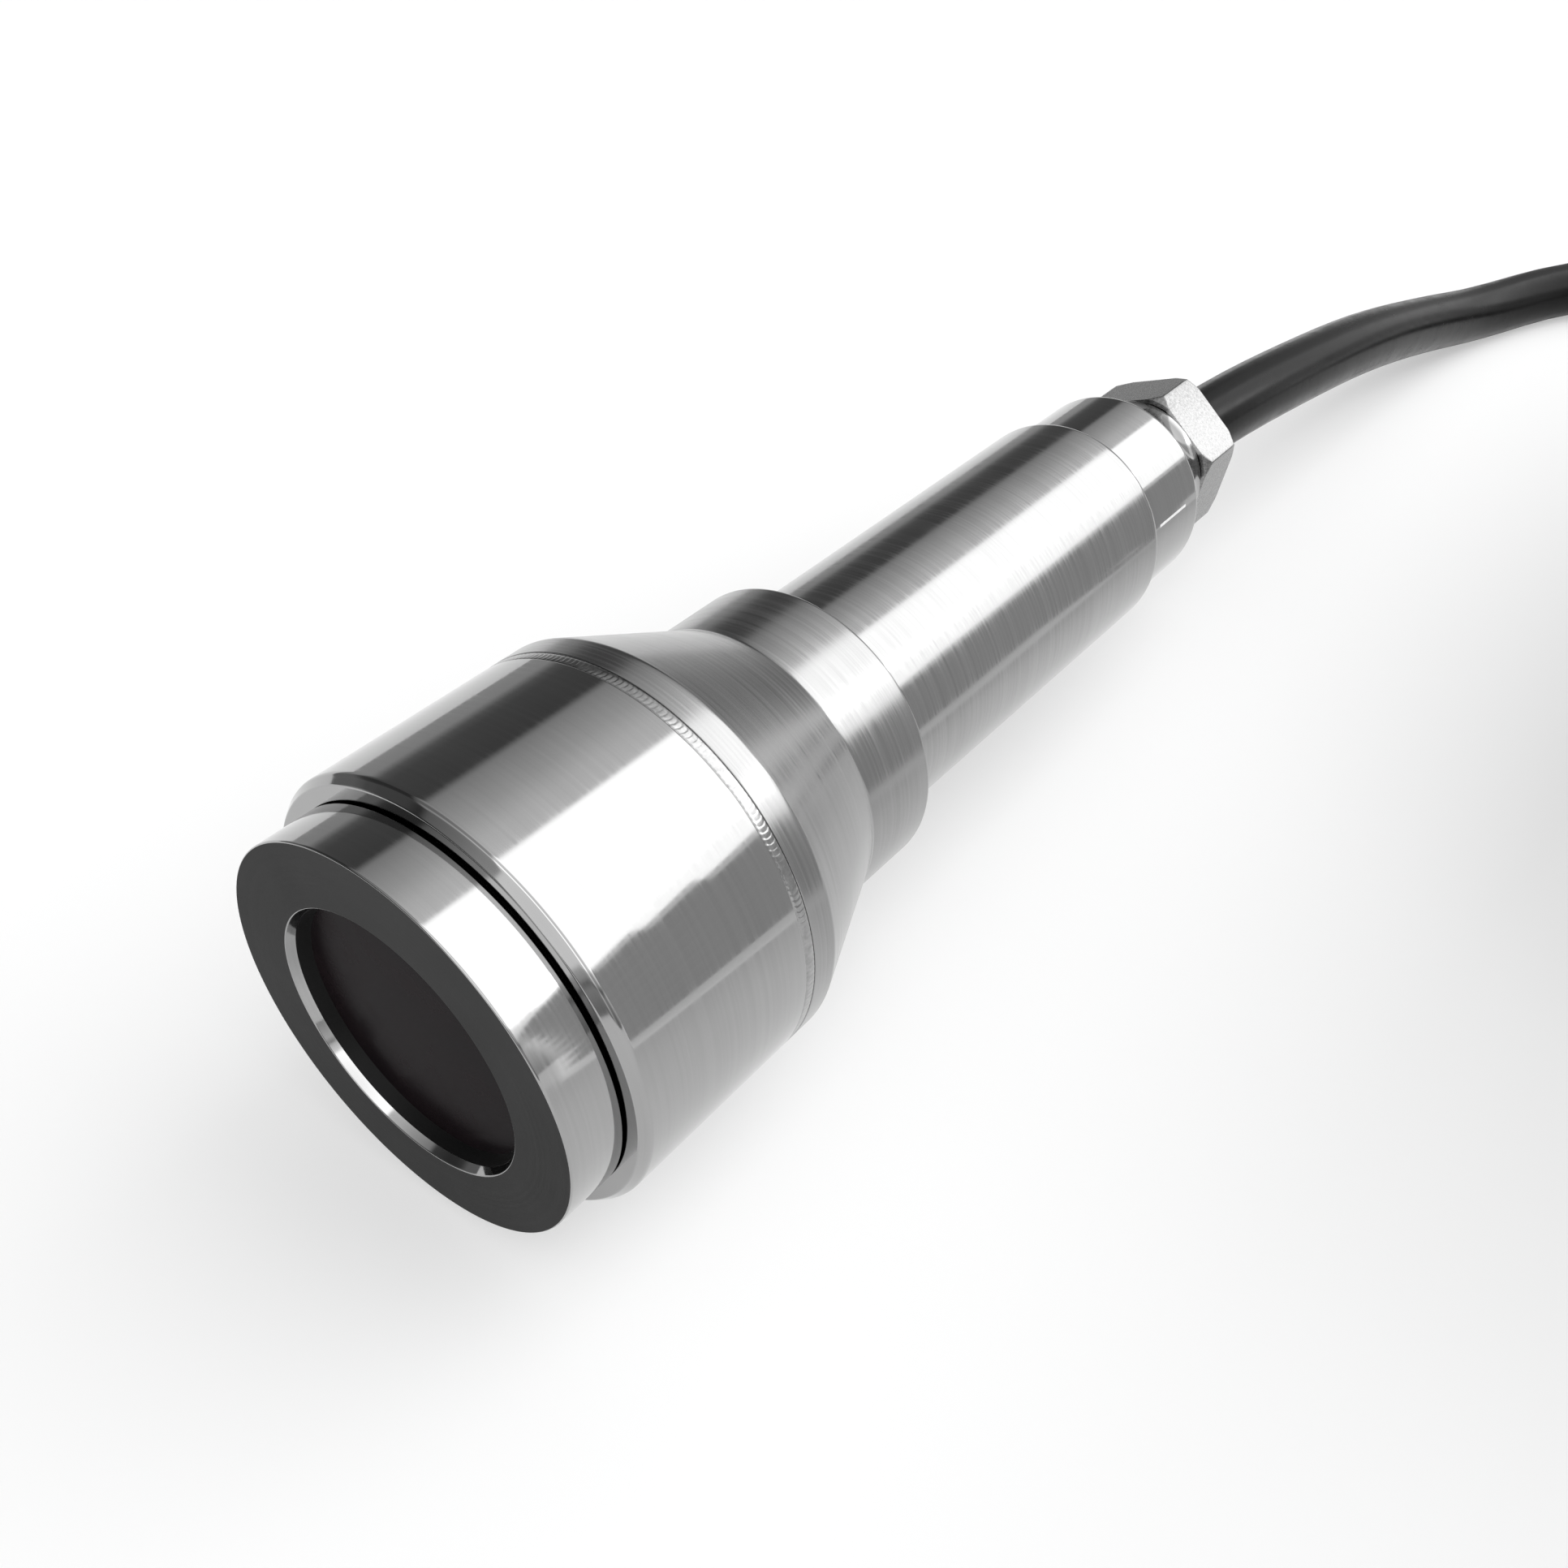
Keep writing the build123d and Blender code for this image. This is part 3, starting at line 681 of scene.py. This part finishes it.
def tube_faces(rows, columns, first):
    """Quads (i, j), (i + 1, j), (i + 1, j + 1), (i, j + 1), and two end caps, numbered from a first point."""
    i, j = np.meshgrid(np.arange(rows - 1), np.arange(columns), indexing="ij")
    near, far = i * columns, (i + 1) * columns
    j2 = (j + 1) % columns
    quads = np.stack([near + j, far + j, far + j2, near + j2], axis=-1)
    start = np.arange(columns)
    end = start[::-1] + (rows - 1) * columns
    return (quads.reshape(-1, 4) + first).tolist() + [(start + first).tolist(), (end + first).tolist()]


print("faces of a stitch:", len(tube_faces(len(STITCH_RINGS), STITCH_SIDES, 0)))

# %% [markdown]
# The near strap is sewn on its top and the far one on its inner side, because the cable's tail lies on the
# far strap's top. A strap's start is given as its middle's y and the length along the line where it begins.
# Both straps are one piece, and the UV of a strap's point is its length along and its way round the
# section. A stitch's UV stays at zero, where the weave's colour is darkest, the painted shade of its hollows,
# so the seams show as dark dashes.

# %% Hank ties
STRAP_STEPS = 320
NEAR_START = 14.0
FAR_START = 230.0
STRAP_STARTS = ((HANK_CENTRE_Y + STRAP_MIDDLE, NEAR_START), (HANK_CENTRE_Y - STRAP_MIDDLE, FAR_START))


def new_mesh(name, points, faces):
    """A smooth-shaded object at the origin, made of an array of points and a list of faces."""
    mesh = bpy.data.meshes.new(name)
    mesh.from_pydata(points.reshape(-1, 3).tolist(), [], faces)
    mesh.polygons.foreach_set("use_smooth", np.ones(len(faces), dtype=bool))
    mesh.update()
    piece = bpy.data.objects.new(name, mesh)
    bpy.context.scene.collection.objects.link(piece)
    return piece


def make_ties():
    """Both straps and their stitches as one mesh with its own UV."""
    section = strap_section()
    run = np.linspace(0, STRAP_ROUND + STRAP_LAP, STRAP_STEPS)
    climb = TIE_THICKNESS * eased((run - STRAP_ROUND + STRAP_CLIMB) / STRAP_CLIMB)
    girth = np.concatenate([[0.0], np.cumsum(np.linalg.norm(np.diff(section, axis=0), axis=1))])
    u, v = np.meshgrid(run, girth, indexing="ij")
    points, faces, uv = [], [], []
    for centre_y, start in STRAP_STARTS:
        out = section[None, :, 1] + climb[:, None]
        strap = strap_place(centre_y, start + run[:, None], section[None, :, 0], out)
        faces += tube_faces(len(run), len(section), sum(map(len, points)))
        points.append(strap.reshape(-1, 3))
        uv.append(np.stack([u, v], axis=-1).reshape(-1, 2) / 1000)
        for along, across, out in stitch_places():
            faces += tube_faces(len(STITCH_RINGS), STITCH_SIDES, sum(map(len, points)))
            points.append(strap_place(centre_y, start + STRAP_ROUND + along, across, out).reshape(-1, 3))
            uv.append(np.zeros((len(points[-1]), 2)))
    straps = new_mesh("hank_straps", np.concatenate(points), faces)
    dress(straps, "webbing_woven_black")
    corner_points = np.empty(len(straps.data.loops), dtype=np.int32)
    straps.data.loops.foreach_get("vertex_index", corner_points)
    straps.data.uv_layers.new(name="UVMap").data.foreach_set("uv", np.concatenate(uv)[corner_points].ravel())
    straps.data.update()
    print("hank straps", len(faces), "faces")
    return straps


ties = make_ties()
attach(ties, "root")
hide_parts("hank_ties")

# %% [markdown]

# %% [markdown]
# Each turned piece is made the way a lathe makes it: one outline swung round the axis. A Screw modifier
# could swing it. A grid is used because the weld and the nut change its radius as it goes round. Every
# sharp corner of the outline gets a small edge break, with a supporting point beside it, so that the long
# surfaces shade straight and only the break itself catches the light.

# %% Outline and swing
SEGMENTS = 256
BREAK_POINTS = 5
BREAK_SUPPORT = 1.2
BREAK_ROOM = 0.4


def soften(corners):
    """Turns (s, radius, edge break) corners into an outline; each break is a small parabola.

    Its points are the corner, plus (1 - t) squared of the way back, plus t squared of the way ahead.
    """
    points = []
    count = len(corners)
    for i, (s, r, size) in enumerate(corners):
        here = np.array([s, r])
        before = np.array(corners[i - 1][:2])
        after = np.array(corners[(i + 1) % count][:2])
        if size <= 0:
            points.append(here)
            continue
        back, ahead = before - here, after - here
        room = BREAK_ROOM * min(np.linalg.norm(back), np.linalg.norm(ahead))
        cut = min(size, room)
        back, ahead = back / np.linalg.norm(back), ahead / np.linalg.norm(ahead)
        points.append(here + back * cut * BREAK_SUPPORT)
        for t in np.linspace(0, 1, BREAK_POINTS):
            points.append(here + back * cut * (1 - t) ** 2 + ahead * cut * t ** 2)
        points.append(here + ahead * cut * BREAK_SUPPORT)
    return np.array(points)


def swing(name, outline, segments=SEGMENTS, lowered=None):
    """A closed outline swung round the axis: y is r cos(turn) and the height r sin(turn).

    The function lowered, where given, takes something off each point's radius. The faces are turned over
    where the outline's area has the sign that would make them point inwards.
    """
    count = len(outline)
    s = np.repeat(outline[None, :, 0], segments, axis=0)
    r = np.repeat(outline[None, :, 1], segments, axis=0)
    turn = np.repeat((np.arange(segments) * 2 * math.pi / segments)[:, None], count, axis=1)
    if lowered is not None:
        r = r - lowered(s, r, turn)
    points = np.stack([s - PROBE_LENGTH / 2, r * np.cos(turn), r * np.sin(turn) + HEAD_RADIUS], axis=-1) / 1000
    i, j = np.meshgrid(np.arange(segments), np.arange(count), indexing="ij")
    i2, j2 = (i + 1) % segments, (j + 1) % count
    faces = np.stack([i * count + j, i2 * count + j, i2 * count + j2, i * count + j2], axis=-1).reshape(-1, 4)
    after = np.roll(outline, -1, axis=0)
    area = np.sum(outline[:, 0] * after[:, 1] - after[:, 0] * outline[:, 1])
    if area > 0:
        faces = faces[:, ::-1]
    return new_mesh(name, points, faces.tolist())


print("points of one broken edge:", len(soften([(0, 0, 1), (0, 9, 0), (9, 0, 0)])) - 2)

# %% [markdown]
# A turned skin is such a piece, dressed, riding on the probe and standing for its solid.

# %% Turned skin
FACING_FORWARD = 0.97


def turned_skin(name, outline, finishes, replaced, segments=SEGMENTS, lowered=None):
    """Makes, dresses and declares one turned piece."""
    piece = swing(name, outline, segments, lowered)
    dress(piece, *finishes)
    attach(piece, "root")
    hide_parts(replaced)
    print(name, len(piece.data.polygons), "faces")
    return piece


def finish_front(piece, behind_mm, index):
    """Gives the faces that look forward, and lie no further back than a distance, the finish of an index."""
    count = len(piece.data.polygons)
    normals, centres = np.empty(count * 3), np.empty(count * 3)
    piece.data.polygons.foreach_get("normal", normals)
    piece.data.polygons.foreach_get("center", centres)
    s = centres[0::3] * 1000 + PROBE_LENGTH / 2
    chosen = np.where((normals[0::3] < -FACING_FORWARD) & (s < behind_mm), index, 0)
    piece.data.polygons.foreach_set("material_index", chosen.astype(np.int32))
    piece.data.update()
    print("front faces:", int(np.count_nonzero(chosen)))


# %% [markdown]
# The clamping ring holds the measuring cell. Its face is dull and painted dark as painted shade, and its rim
# and bevel are polished, so the bevel shows as a bright crescent against the dark seal. The face could be a
# piece of its own, but one piece with two finishes has no seam. The ring's spigot reaches into the head.

# %% Front ring
RING_RADIUS = 20.4
RING_LENGTH = 6.0
OPENING_RADIUS = 14.0
BEVEL_RADIUS = 13.6
LIP = 0.9
POCKET_RADIUS = 16.2
SPIGOT_RADIUS = 18.5
SPIGOT_END = 13.7
FRONT_FACE = 0.05

front_ring = turned_skin("front_ring_skin", soften([
    (0.0, OPENING_RADIUS, 0.10),
    (LIP, BEVEL_RADIUS, 0.06),
    (LIP, POCKET_RADIUS, 0.0),
    (SPIGOT_END, POCKET_RADIUS, 0.0),
    (SPIGOT_END, SPIGOT_RADIUS, 0.1),
    (RING_LENGTH, SPIGOT_RADIUS, 0.0),
    (RING_LENGTH, RING_RADIUS, 0.05),
    (0.0, RING_RADIUS, 0.22),
]), ("steel_turned_polished", "steel_faced_painted_shade"), "front_ring")
finish_front(front_ring, FRONT_FACE, 1)

# %% [markdown]
# The head is a polished bush with a small chamfer in front. Inside it has the O-ring's counterbore, the
# bore for the ring's spigot, the shoulder that carries the cell, and the cavity behind it. Only its outside
# shows, but the skin stands for the whole solid, so it has the inside too.

# %% Head
HEAD_FRONT = 6.3
HEAD_REAR = 28.4
HEAD_CHAMFER_LENGTH = 0.9
HEAD_CHAMFER_WIDTH = 0.7
HEAD_CAVITY = 18.0
COUNTERBORE_END = 8.62
COUNTERBORE_RADIUS = 19.71
SHOULDER = 14.0
SHOULDER_END = 16.5
SHOULDER_HOLE = 12.0
WELD_WIDTH = 1.3
WELD_DEPTH = 0.7
CLEARANCE = 0.05

turned_skin("head_skin", soften([
    (HEAD_FRONT, COUNTERBORE_RADIUS, 0.04),
    (COUNTERBORE_END, COUNTERBORE_RADIUS, 0.0),
    (COUNTERBORE_END, SPIGOT_RADIUS + CLEARANCE, 0.0),
    (SHOULDER, SPIGOT_RADIUS + CLEARANCE, 0.0),
    (SHOULDER, SHOULDER_HOLE, 0.1),
    (SHOULDER_END, SHOULDER_HOLE, 0.1),
    (SHOULDER_END, HEAD_CAVITY, 0.0),
    (HEAD_REAR, HEAD_CAVITY, 0.0),
    (HEAD_REAR, HEAD_RADIUS - WELD_DEPTH, 0.0),
    (HEAD_REAR - WELD_WIDTH / 2, HEAD_RADIUS - WELD_DEPTH, 0.0),
    (HEAD_REAR - WELD_WIDTH / 2, HEAD_RADIUS, 0.10),
    (HEAD_FRONT + HEAD_CHAMFER_LENGTH, HEAD_RADIUS, 0.25),
    (HEAD_FRONT, HEAD_RADIUS - HEAD_CHAMFER_WIDTH, 0.12),
]), ("steel_turned_polished",), "head_housing")

# %% [markdown]
# The cone leads from the head to the tube. Its rim is welded to the head and its neck takes the tube. The
# edges between rim, cone and neck are only lightly broken, so they stay crisp.

# %% Cone
CONE_FRONT = 31.9
CONE_SPIGOT = 2.0
CONE_HOLLOW = 16.25
NECK_FRONT = 46.4
NECK_REAR = 56.2
NECK_RADIUS = 16.4
TUBE_FRONT = 50.2
TUBE_RADIUS = 13.5
TUBE_BORE = 11.8

turned_skin("cone_skin", soften([
    (HEAD_REAR - CONE_SPIGOT, CONE_HOLLOW, 0.0),
    (CONE_FRONT, CONE_HOLLOW, 0.0),
    (NECK_FRONT, TUBE_BORE - CLEARANCE, 0.0),
    (TUBE_FRONT, TUBE_BORE - CLEARANCE, 0.0),
    (TUBE_FRONT, TUBE_RADIUS + CLEARANCE, 0.0),
    (NECK_REAR, TUBE_RADIUS + CLEARANCE, 0.1),
    (NECK_REAR, NECK_RADIUS, 0.45),
    (NECK_FRONT, NECK_RADIUS, 0.25),
    (CONE_FRONT, HEAD_RADIUS, 0.2),
    (HEAD_REAR + WELD_WIDTH / 2, HEAD_RADIUS, 0.10),
    (HEAD_REAR + WELD_WIDTH / 2, HEAD_RADIUS - WELD_DEPTH, 0.0),
    (HEAD_REAR, HEAD_RADIUS - WELD_DEPTH, 0.0),
    (HEAD_REAR, HEAD_CAVITY - CLEARANCE, 0.0),
    (HEAD_REAR - CONE_SPIGOT, HEAD_CAVITY - CLEARANCE, 0.1),
]), ("steel_turned_scratched",), "cone_adapter")

# %% [markdown]
# The tube is a plain length with a rounded rear edge. A cylinder with a Bevel modifier would do. Swinging
# its outline like the others gives each of its edges its own break.

# %% Tube
TUBE_REAR = 109.8

turned_skin("tube_skin", soften([
    (TUBE_FRONT, TUBE_BORE, 0.0),
    (TUBE_REAR, TUBE_BORE, 0.1),
    (TUBE_REAR, TUBE_RADIUS, 0.7),
    (TUBE_FRONT, TUBE_RADIUS, 0.2),
]), ("steel_brushed_round",), "body_tube")

# %% [markdown]
# The gland closes the tube with a spigot that has a groove for its O-ring. Its collar has a rounded edge,
# and behind it a neck and the threaded nose go into the nut. The thread is hidden there, so it is a plain
# cylinder.

# %% Gland
GLAND_SPIGOT = 6.0
GLAND_REAR = 122.3
GLAND_NECK_END = 129.0
GLAND_NECK_RADIUS = 9.4
GROOVE_REAR = 2.2
GROOVE_FRONT = 3.8
GROOVE_RADIUS = 10.15
THREAD_END = 134.2
THREAD_RADIUS = 7.9
SEAT_FRONT = 125.2
SEAT_RADIUS = 6.65
CABLE_HOLE = 4.95

turned_skin("gland_skin", soften([
    (TUBE_REAR - GLAND_SPIGOT, CABLE_HOLE, 0.0),
    (SEAT_FRONT, CABLE_HOLE, 0.0),
    (SEAT_FRONT, SEAT_RADIUS, 0.0),
    (THREAD_END, SEAT_RADIUS, 0.0),
    (THREAD_END, THREAD_RADIUS, 0.2),
    (GLAND_NECK_END, THREAD_RADIUS, 0.0),
    (GLAND_NECK_END, GLAND_NECK_RADIUS, 0.2),
    (GLAND_REAR, GLAND_NECK_RADIUS, 0.0),
    (GLAND_REAR, GLAND_RADIUS, 0.6),
    (TUBE_REAR, GLAND_RADIUS, 0.1),
    (TUBE_REAR, TUBE_BORE - CLEARANCE, 0.0),
    (TUBE_REAR - GROOVE_REAR, TUBE_BORE - CLEARANCE, 0.0),
    (TUBE_REAR - GROOVE_REAR, GROOVE_RADIUS, 0.0),
    (TUBE_REAR - GROOVE_FRONT, GROOVE_RADIUS, 0.0),
    (TUBE_REAR - GROOVE_FRONT, TUBE_BORE - CLEARANCE, 0.0),
    (TUBE_REAR - GLAND_SPIGOT, TUBE_BORE - CLEARANCE, 0.1),
]), ("steel_polished_scribed",), "gland_body")

# %% [markdown]
# The weld is an orbital bead: the torch stops and steps, and each puddle freezes as a small crescent over
# the last. A bump in the finish would leave its outline smooth, so the ripple is in the mesh. It lowers the
# skin by a few hundredths of a millimetre along bent arcs, so the bead never rises over the head's own
# radius.

# %% Weld
RIPPLES = 250
RIPPLE_BEND = 0.7
RIPPLE_DEPTH = 0.022
BEAD_FALL = 0.08
BEAD_STEPS = 12


def weld_ripple(s, r, turn):
    """Crescents round the bead: the phase's fraction to the power 1.5, times the ripple's depth.

    The phase runs with the angle and is bent back with the square of the distance from the bead's middle.
    The bead falls off to its edges with the fourth power of that distance.
    """
    across = (s - HEAD_REAR) / (WELD_WIDTH / 2)
    phase = RIPPLES * turn / (2 * math.pi) + RIPPLE_BEND * across ** 2
    wave = phase - np.floor(phase)
    crescent = RIPPLE_DEPTH * wave ** 1.5 + BEAD_FALL * across ** 4
    return np.where(r > HEAD_RADIUS - WELD_DEPTH / 2, crescent, 0.0)


bead = WELD_WIDTH / 2
bead_line = [(HEAD_REAR + bead * (1 - 2 * k / BEAD_STEPS), HEAD_RADIUS) for k in range(BEAD_STEPS + 1)]
turned_skin("weld_skin", np.array([
    (HEAD_REAR - bead, HEAD_RADIUS - WELD_DEPTH),
    (HEAD_REAR + bead, HEAD_RADIUS - WELD_DEPTH),
] + bead_line), ("steel_weld_frozen",), "weld_bead", segments=2000, lowered=weld_ripple)

# %% [markdown]
# The nut is a hexagon whose two ends were turned to a chamfer. It could be cut from a prism with a Boolean,
# but that leaves ragged faces along the curved edges. On a grid it is one rule: the radius is the smaller
# of the turned outline's and the hexagon's, which is half the width across flats over the cosine of the
# angle from the nearest flat's middle. Where the two meet, a smooth minimum leaves a small edge break.

# %% Gland nut
NUT_FRONT = 129.3
NUT_FLATS = 18.4
NUT_TURN = 9.0
NUT_EDGE = 0.12
NUT_BREAK = 0.9
NUT_FACE_STEP = 0.8
NUT_END_WALL = 2.0
OUTSIDE_BORE = 0.5
CHAMFER_POINTS = 15
BAND_POINTS = 9


def nut_flats(s, r, turn):
    """What the hexagon takes off the turned outline; only the outer surface is cut."""
    from_flat = np.mod(turn - math.radians(NUT_TURN) + math.pi / 6, math.pi / 3) - math.pi / 6
    hexagon = NUT_FLATS / 2 / np.cos(from_flat)
    blend = np.maximum(NUT_EDGE - np.abs(r - hexagon), 0.0) / NUT_EDGE
    cut = r - np.minimum(r, hexagon) + blend ** 2 * NUT_EDGE / 4
    return np.where(r > THREAD_RADIUS + OUTSIDE_BORE, cut, 0.0)


corner = NUT_FLATS / 2 / math.cos(math.pi / 6)
face = corner - NUT_FACE_STEP
share = np.linspace(0, 1, CHAMFER_POINTS)
front_chamfer = np.stack([NUT_FRONT + NUT_BREAK * share, face + (corner - face) * share], axis=1)
band = np.linspace(NUT_FRONT + NUT_BREAK, PROBE_LENGTH - NUT_BREAK, BAND_POINTS)[1:-1]
middle_band = np.stack([band, np.full(len(band), corner)], axis=1)
rear_chamfer = np.stack([PROBE_LENGTH - NUT_BREAK * (1 - share), corner - (corner - face) * share], axis=1)
outer = np.concatenate([front_chamfer, middle_band, rear_chamfer])
bore_end = PROBE_LENGTH - NUT_END_WALL
inner = np.array([
    (PROBE_LENGTH, CABLE_HOLE),
    (bore_end, CABLE_HOLE),
    (bore_end, THREAD_RADIUS + CLEARANCE),
    (NUT_FRONT, THREAD_RADIUS + CLEARANCE),
])
turned_skin("nut_skin", np.concatenate([outer, inner]), ("steel_ground_flats",), "gland_nut",
            segments=720, lowered=nut_flats)

# %% [markdown]
# The light is a studio dome of soft strips that run along the probe, the way such products are lit. Lamps
# alone would show in round bars as patches, while strips show as straight bands. The dome's first scale is
# the angle about the probe's axis, from the horizon at +y over the zenith to the horizon at -y: grey, a
# dark gap, grey again, the wide soft box, and grey. Its second scale is the direction along the probe. The
# soft box is brightest where the probe's sides mirror it, and towards +x, where only the cone looks, an
# even grey fills the strips.

# %% World
SOFT_BOX = 2.8
STRIPS = (
    (0, 0.44),
    (12, 0.44),
    (18, 0.17),
    (24, 0.12),
    (46, 0.10),
    (50, 0.45),
    (68, 0.72),
    (80, 1.00),
    (91, 1.15),
    (93, SOFT_BOX),
    (152, SOFT_BOX),
    (154, 1.50),
    (160, 1.10),
    (162, 0.40),
    (166, 0.90),
    (180, 0.50),
)
ALONG = (
    (-1.0, 0.5),
    (-0.52, 0.5),
    (-0.48, 1.0),
    (-0.34, 1.0),
    (-0.26, 0.5),
    (0.12, 0.5),
    (0.24, 1.0),
    (0.86, 1.0),
    (0.93, 0.35),
    (1.0, 0.35),
)
FILL = (
    (-1.0, 0.0),
    (0.84, 0.0),
    (0.92, 0.30),
    (1.0, 0.30),
)


def fill_ramp(ramp, stops, low, high, top):
    """Sets a colour ramp's stops from (value, level) pairs, with the levels divided by the top one."""
    ramp.elements.remove(ramp.elements[1])
    for i, (value, level) in enumerate(stops):
        position = (value - low) / (high - low)
        element = ramp.elements[0] if i == 0 else ramp.elements.new(position)
        element.position = position
        element.color = (level / top, level / top, level / top, 1.0)


def add_world():
    """The dome: strips by the angle about x, times a level by the direction along x, plus the fill."""
    world = bpy.data.worlds.new("studio")
    world.use_nodes = True
    tree = world.node_tree
    background = tree.nodes["Background"]
    parts = add(tree, "SeparateXYZ", {0: add(tree, "TexCoord")["Generated"]})
    angle = add(tree, "Math", {0: parts["Z"], 1: parts["Y"]}, operation="ARCTAN2")[0]
    half_turns = add(tree, "Math", {0: angle}, {1: math.pi}, operation="DIVIDE")[0]
    strips = add(tree, "ValToRGB", {"Fac": half_turns})["Color"]
    fill_ramp(strips.node.color_ramp, STRIPS, 0, 180, SOFT_BOX)
    share = add(tree, "MapRange", {"Value": parts["X"]}, {"From Min": -1.0, "From Max": 1.0})["Result"]
    along = add(tree, "ValToRGB", {"Fac": share})["Color"]
    fill_ramp(along.node.color_ramp, ALONG, -1, 1, 1)
    fill = add(tree, "ValToRGB", {"Fac": share})["Color"]
    fill_ramp(fill.node.color_ramp, FILL, -1, 1, SOFT_BOX)
    lit = add(tree, "Mix", {6: strips, 7: along}, {0: 1.0}, data_type="RGBA", blend_type="MULTIPLY")[2]
    level = add(tree, "Mix", {6: lit, 7: fill}, {0: 1.0}, data_type="RGBA", blend_type="ADD")[2]
    tree.links.new(level, background.inputs["Color"])
    background.inputs["Strength"].default_value = SOFT_BOX
    bpy.context.scene.world = world
    print("strips:", len(STRIPS))


add_world()

# %% [markdown]
# The black hank stands beside the probe, out of view, and would hide the soft box from the probe's side. It
# could be hidden from the mirror images, but it would still hold back the light. Lamps in front of it give
# that light back: the upper row about as bright as the soft box, the lower row grey, and a low row between
# them about half as bright, so that the bright band on the steel ends in two steps. A lamp's power is its
# brightness times its area times pi.

# %% Lamps
LAMP_TOP = 108.0
LAMP_STEP = 10
LAMP_FROM = 205
LAMP_TO = 95
LAMP_GAP = 1.7
ROW_END_X = 234.0
SPLIT_LOW = 35.0
SPLIT_SLOPE = 0.51
SPLIT_FROM = 13.4
SPLIT_MARGIN = 4.0
HALF_BAND = 5.0
SOFT_LEVEL = 2.6
HALF_LEVEL = 1.1
GREY_LEVEL = 0.5


def lamp_corners():
    """Points on the table round the hank's -x end and along its near side, just outside its turns."""
    outer = HANK_OUTER + CABLE_DIAMETER / 2 + LAMP_GAP
    reach = outer / math.cos(math.radians(LAMP_STEP / 2))
    end_x = HANK_CENTRE_X - HANK_RUN / 2
    turns = np.radians(np.arange(LAMP_FROM, LAMP_TO - 1, -LAMP_STEP))
    corners = [(end_x + reach * math.cos(t), HANK_CENTRE_Y + reach * math.sin(t)) for t in turns]
    return corners + [(ROW_END_X, HANK_CENTRE_Y + outer)]


def split_height(start, end):
    """Where the soft box's lower edge stands, seen from the probe's side: it rises with the distance."""
    away = -(start[1] + end[1]) / 2
    return min(SPLIT_LOW + SPLIT_SLOPE * (away - SPLIT_FROM), LAMP_TOP - SPLIT_MARGIN)


def add_lamp(name, start, end, low, high, level):
    """An upright lamp between two points of the table, facing the probe."""
    a, b = np.array(start), np.array(end)
    width = np.linalg.norm(b - a)
    along = (b - a) / width
    data = bpy.data.lights.new(name, "AREA")
    data.shape = "RECTANGLE"
    data.size = width / 1000
    data.size_y = (high - low) / 1000
    data.energy = level * math.pi * data.size * data.size_y
    lamp = bpy.data.objects.new(name, data)
    turn = Matrix([[along[0], 0, along[1]], [along[1], 0, -along[0]], [0, 1, 0]]).to_4x4()
    middle = (a + b) / 2000
    lamp.matrix_world = Matrix.Translation((middle[0], middle[1], (low + high) / 2000)) @ turn
    bpy.context.scene.collection.objects.link(lamp)


corners = lamp_corners()
for i, (start, end) in enumerate(zip(corners[:-1], corners[1:])):
    split = split_height(start, end)
    add_lamp(f"soft_lamp_{i}", start, end, split, LAMP_TOP, SOFT_LEVEL)
    add_lamp(f"half_lamp_{i}", start, end, split - HALF_BAND, split, HALF_LEVEL)
    add_lamp(f"grey_lamp_{i}", start, end, 0.0, split - HALF_BAND, GREY_LEVEL)

# %% [markdown]
# The table is plain, pale and matt. A brighter light would turn it white but also wash out the shadow. So
# part of what the camera and the metal see of it is a plain white glow: the background is as white as
# paper, and the soft shadow under the probe stays.

# %% Table
TABLE_HALF = 3.0
WHITENING = 0.45


def add_table():
    """A large square on the ground, with a shader that mixes a matt white with a glow of strength 1."""
    mesh = bpy.data.meshes.new("table")
    corners = TABLE_HALF * np.array([(-1, -1, 0), (1, -1, 0), (1, 1, 0), (-1, 1, 0)])
    mesh.from_pydata(corners.tolist(), [], [(0, 1, 2, 3)])
    table = bpy.data.objects.new("table", mesh)
    bpy.context.scene.collection.objects.link(table)
    material, tree, shader = start_material("table_matt_white", "f4f4f4", 0.0, 0.8)
    shader.inputs["Specular IOR Level"].default_value = 0.2
    rays = add(tree, "LightPath")
    direct = add(tree, "Math", {0: rays["Is Camera Ray"], 1: rays["Is Glossy Ray"]}, operation="MAXIMUM")[0]
    seen = add(tree, "Math", {0: direct, 1: rays["Is Transmission Ray"]}, operation="MAXIMUM")[0]
    part = add(tree, "Math", {0: seen}, {1: WHITENING}, operation="MULTIPLY")[0]
    glow = add(tree, "Emission", values={"Color": (1.0, 1.0, 1.0, 1.0), "Strength": 1.0})["Emission"]
    mixed = add(tree, "MixShader", {0: part, 1: shader.outputs["BSDF"], 2: glow})[0]
    tree.links.new(mixed, tree.nodes["Material Output"].inputs["Surface"])
    table.data.materials.append(material)
    print("table", 2 * TABLE_HALF, "m wide")


add_table()

# %% [markdown]
# Last comes how the picture is shown. The Standard view keeps a colour as its hex value says, where a film
# look would grey the white table.

# %% View
bpy.context.scene.view_settings.view_transform = "Standard"
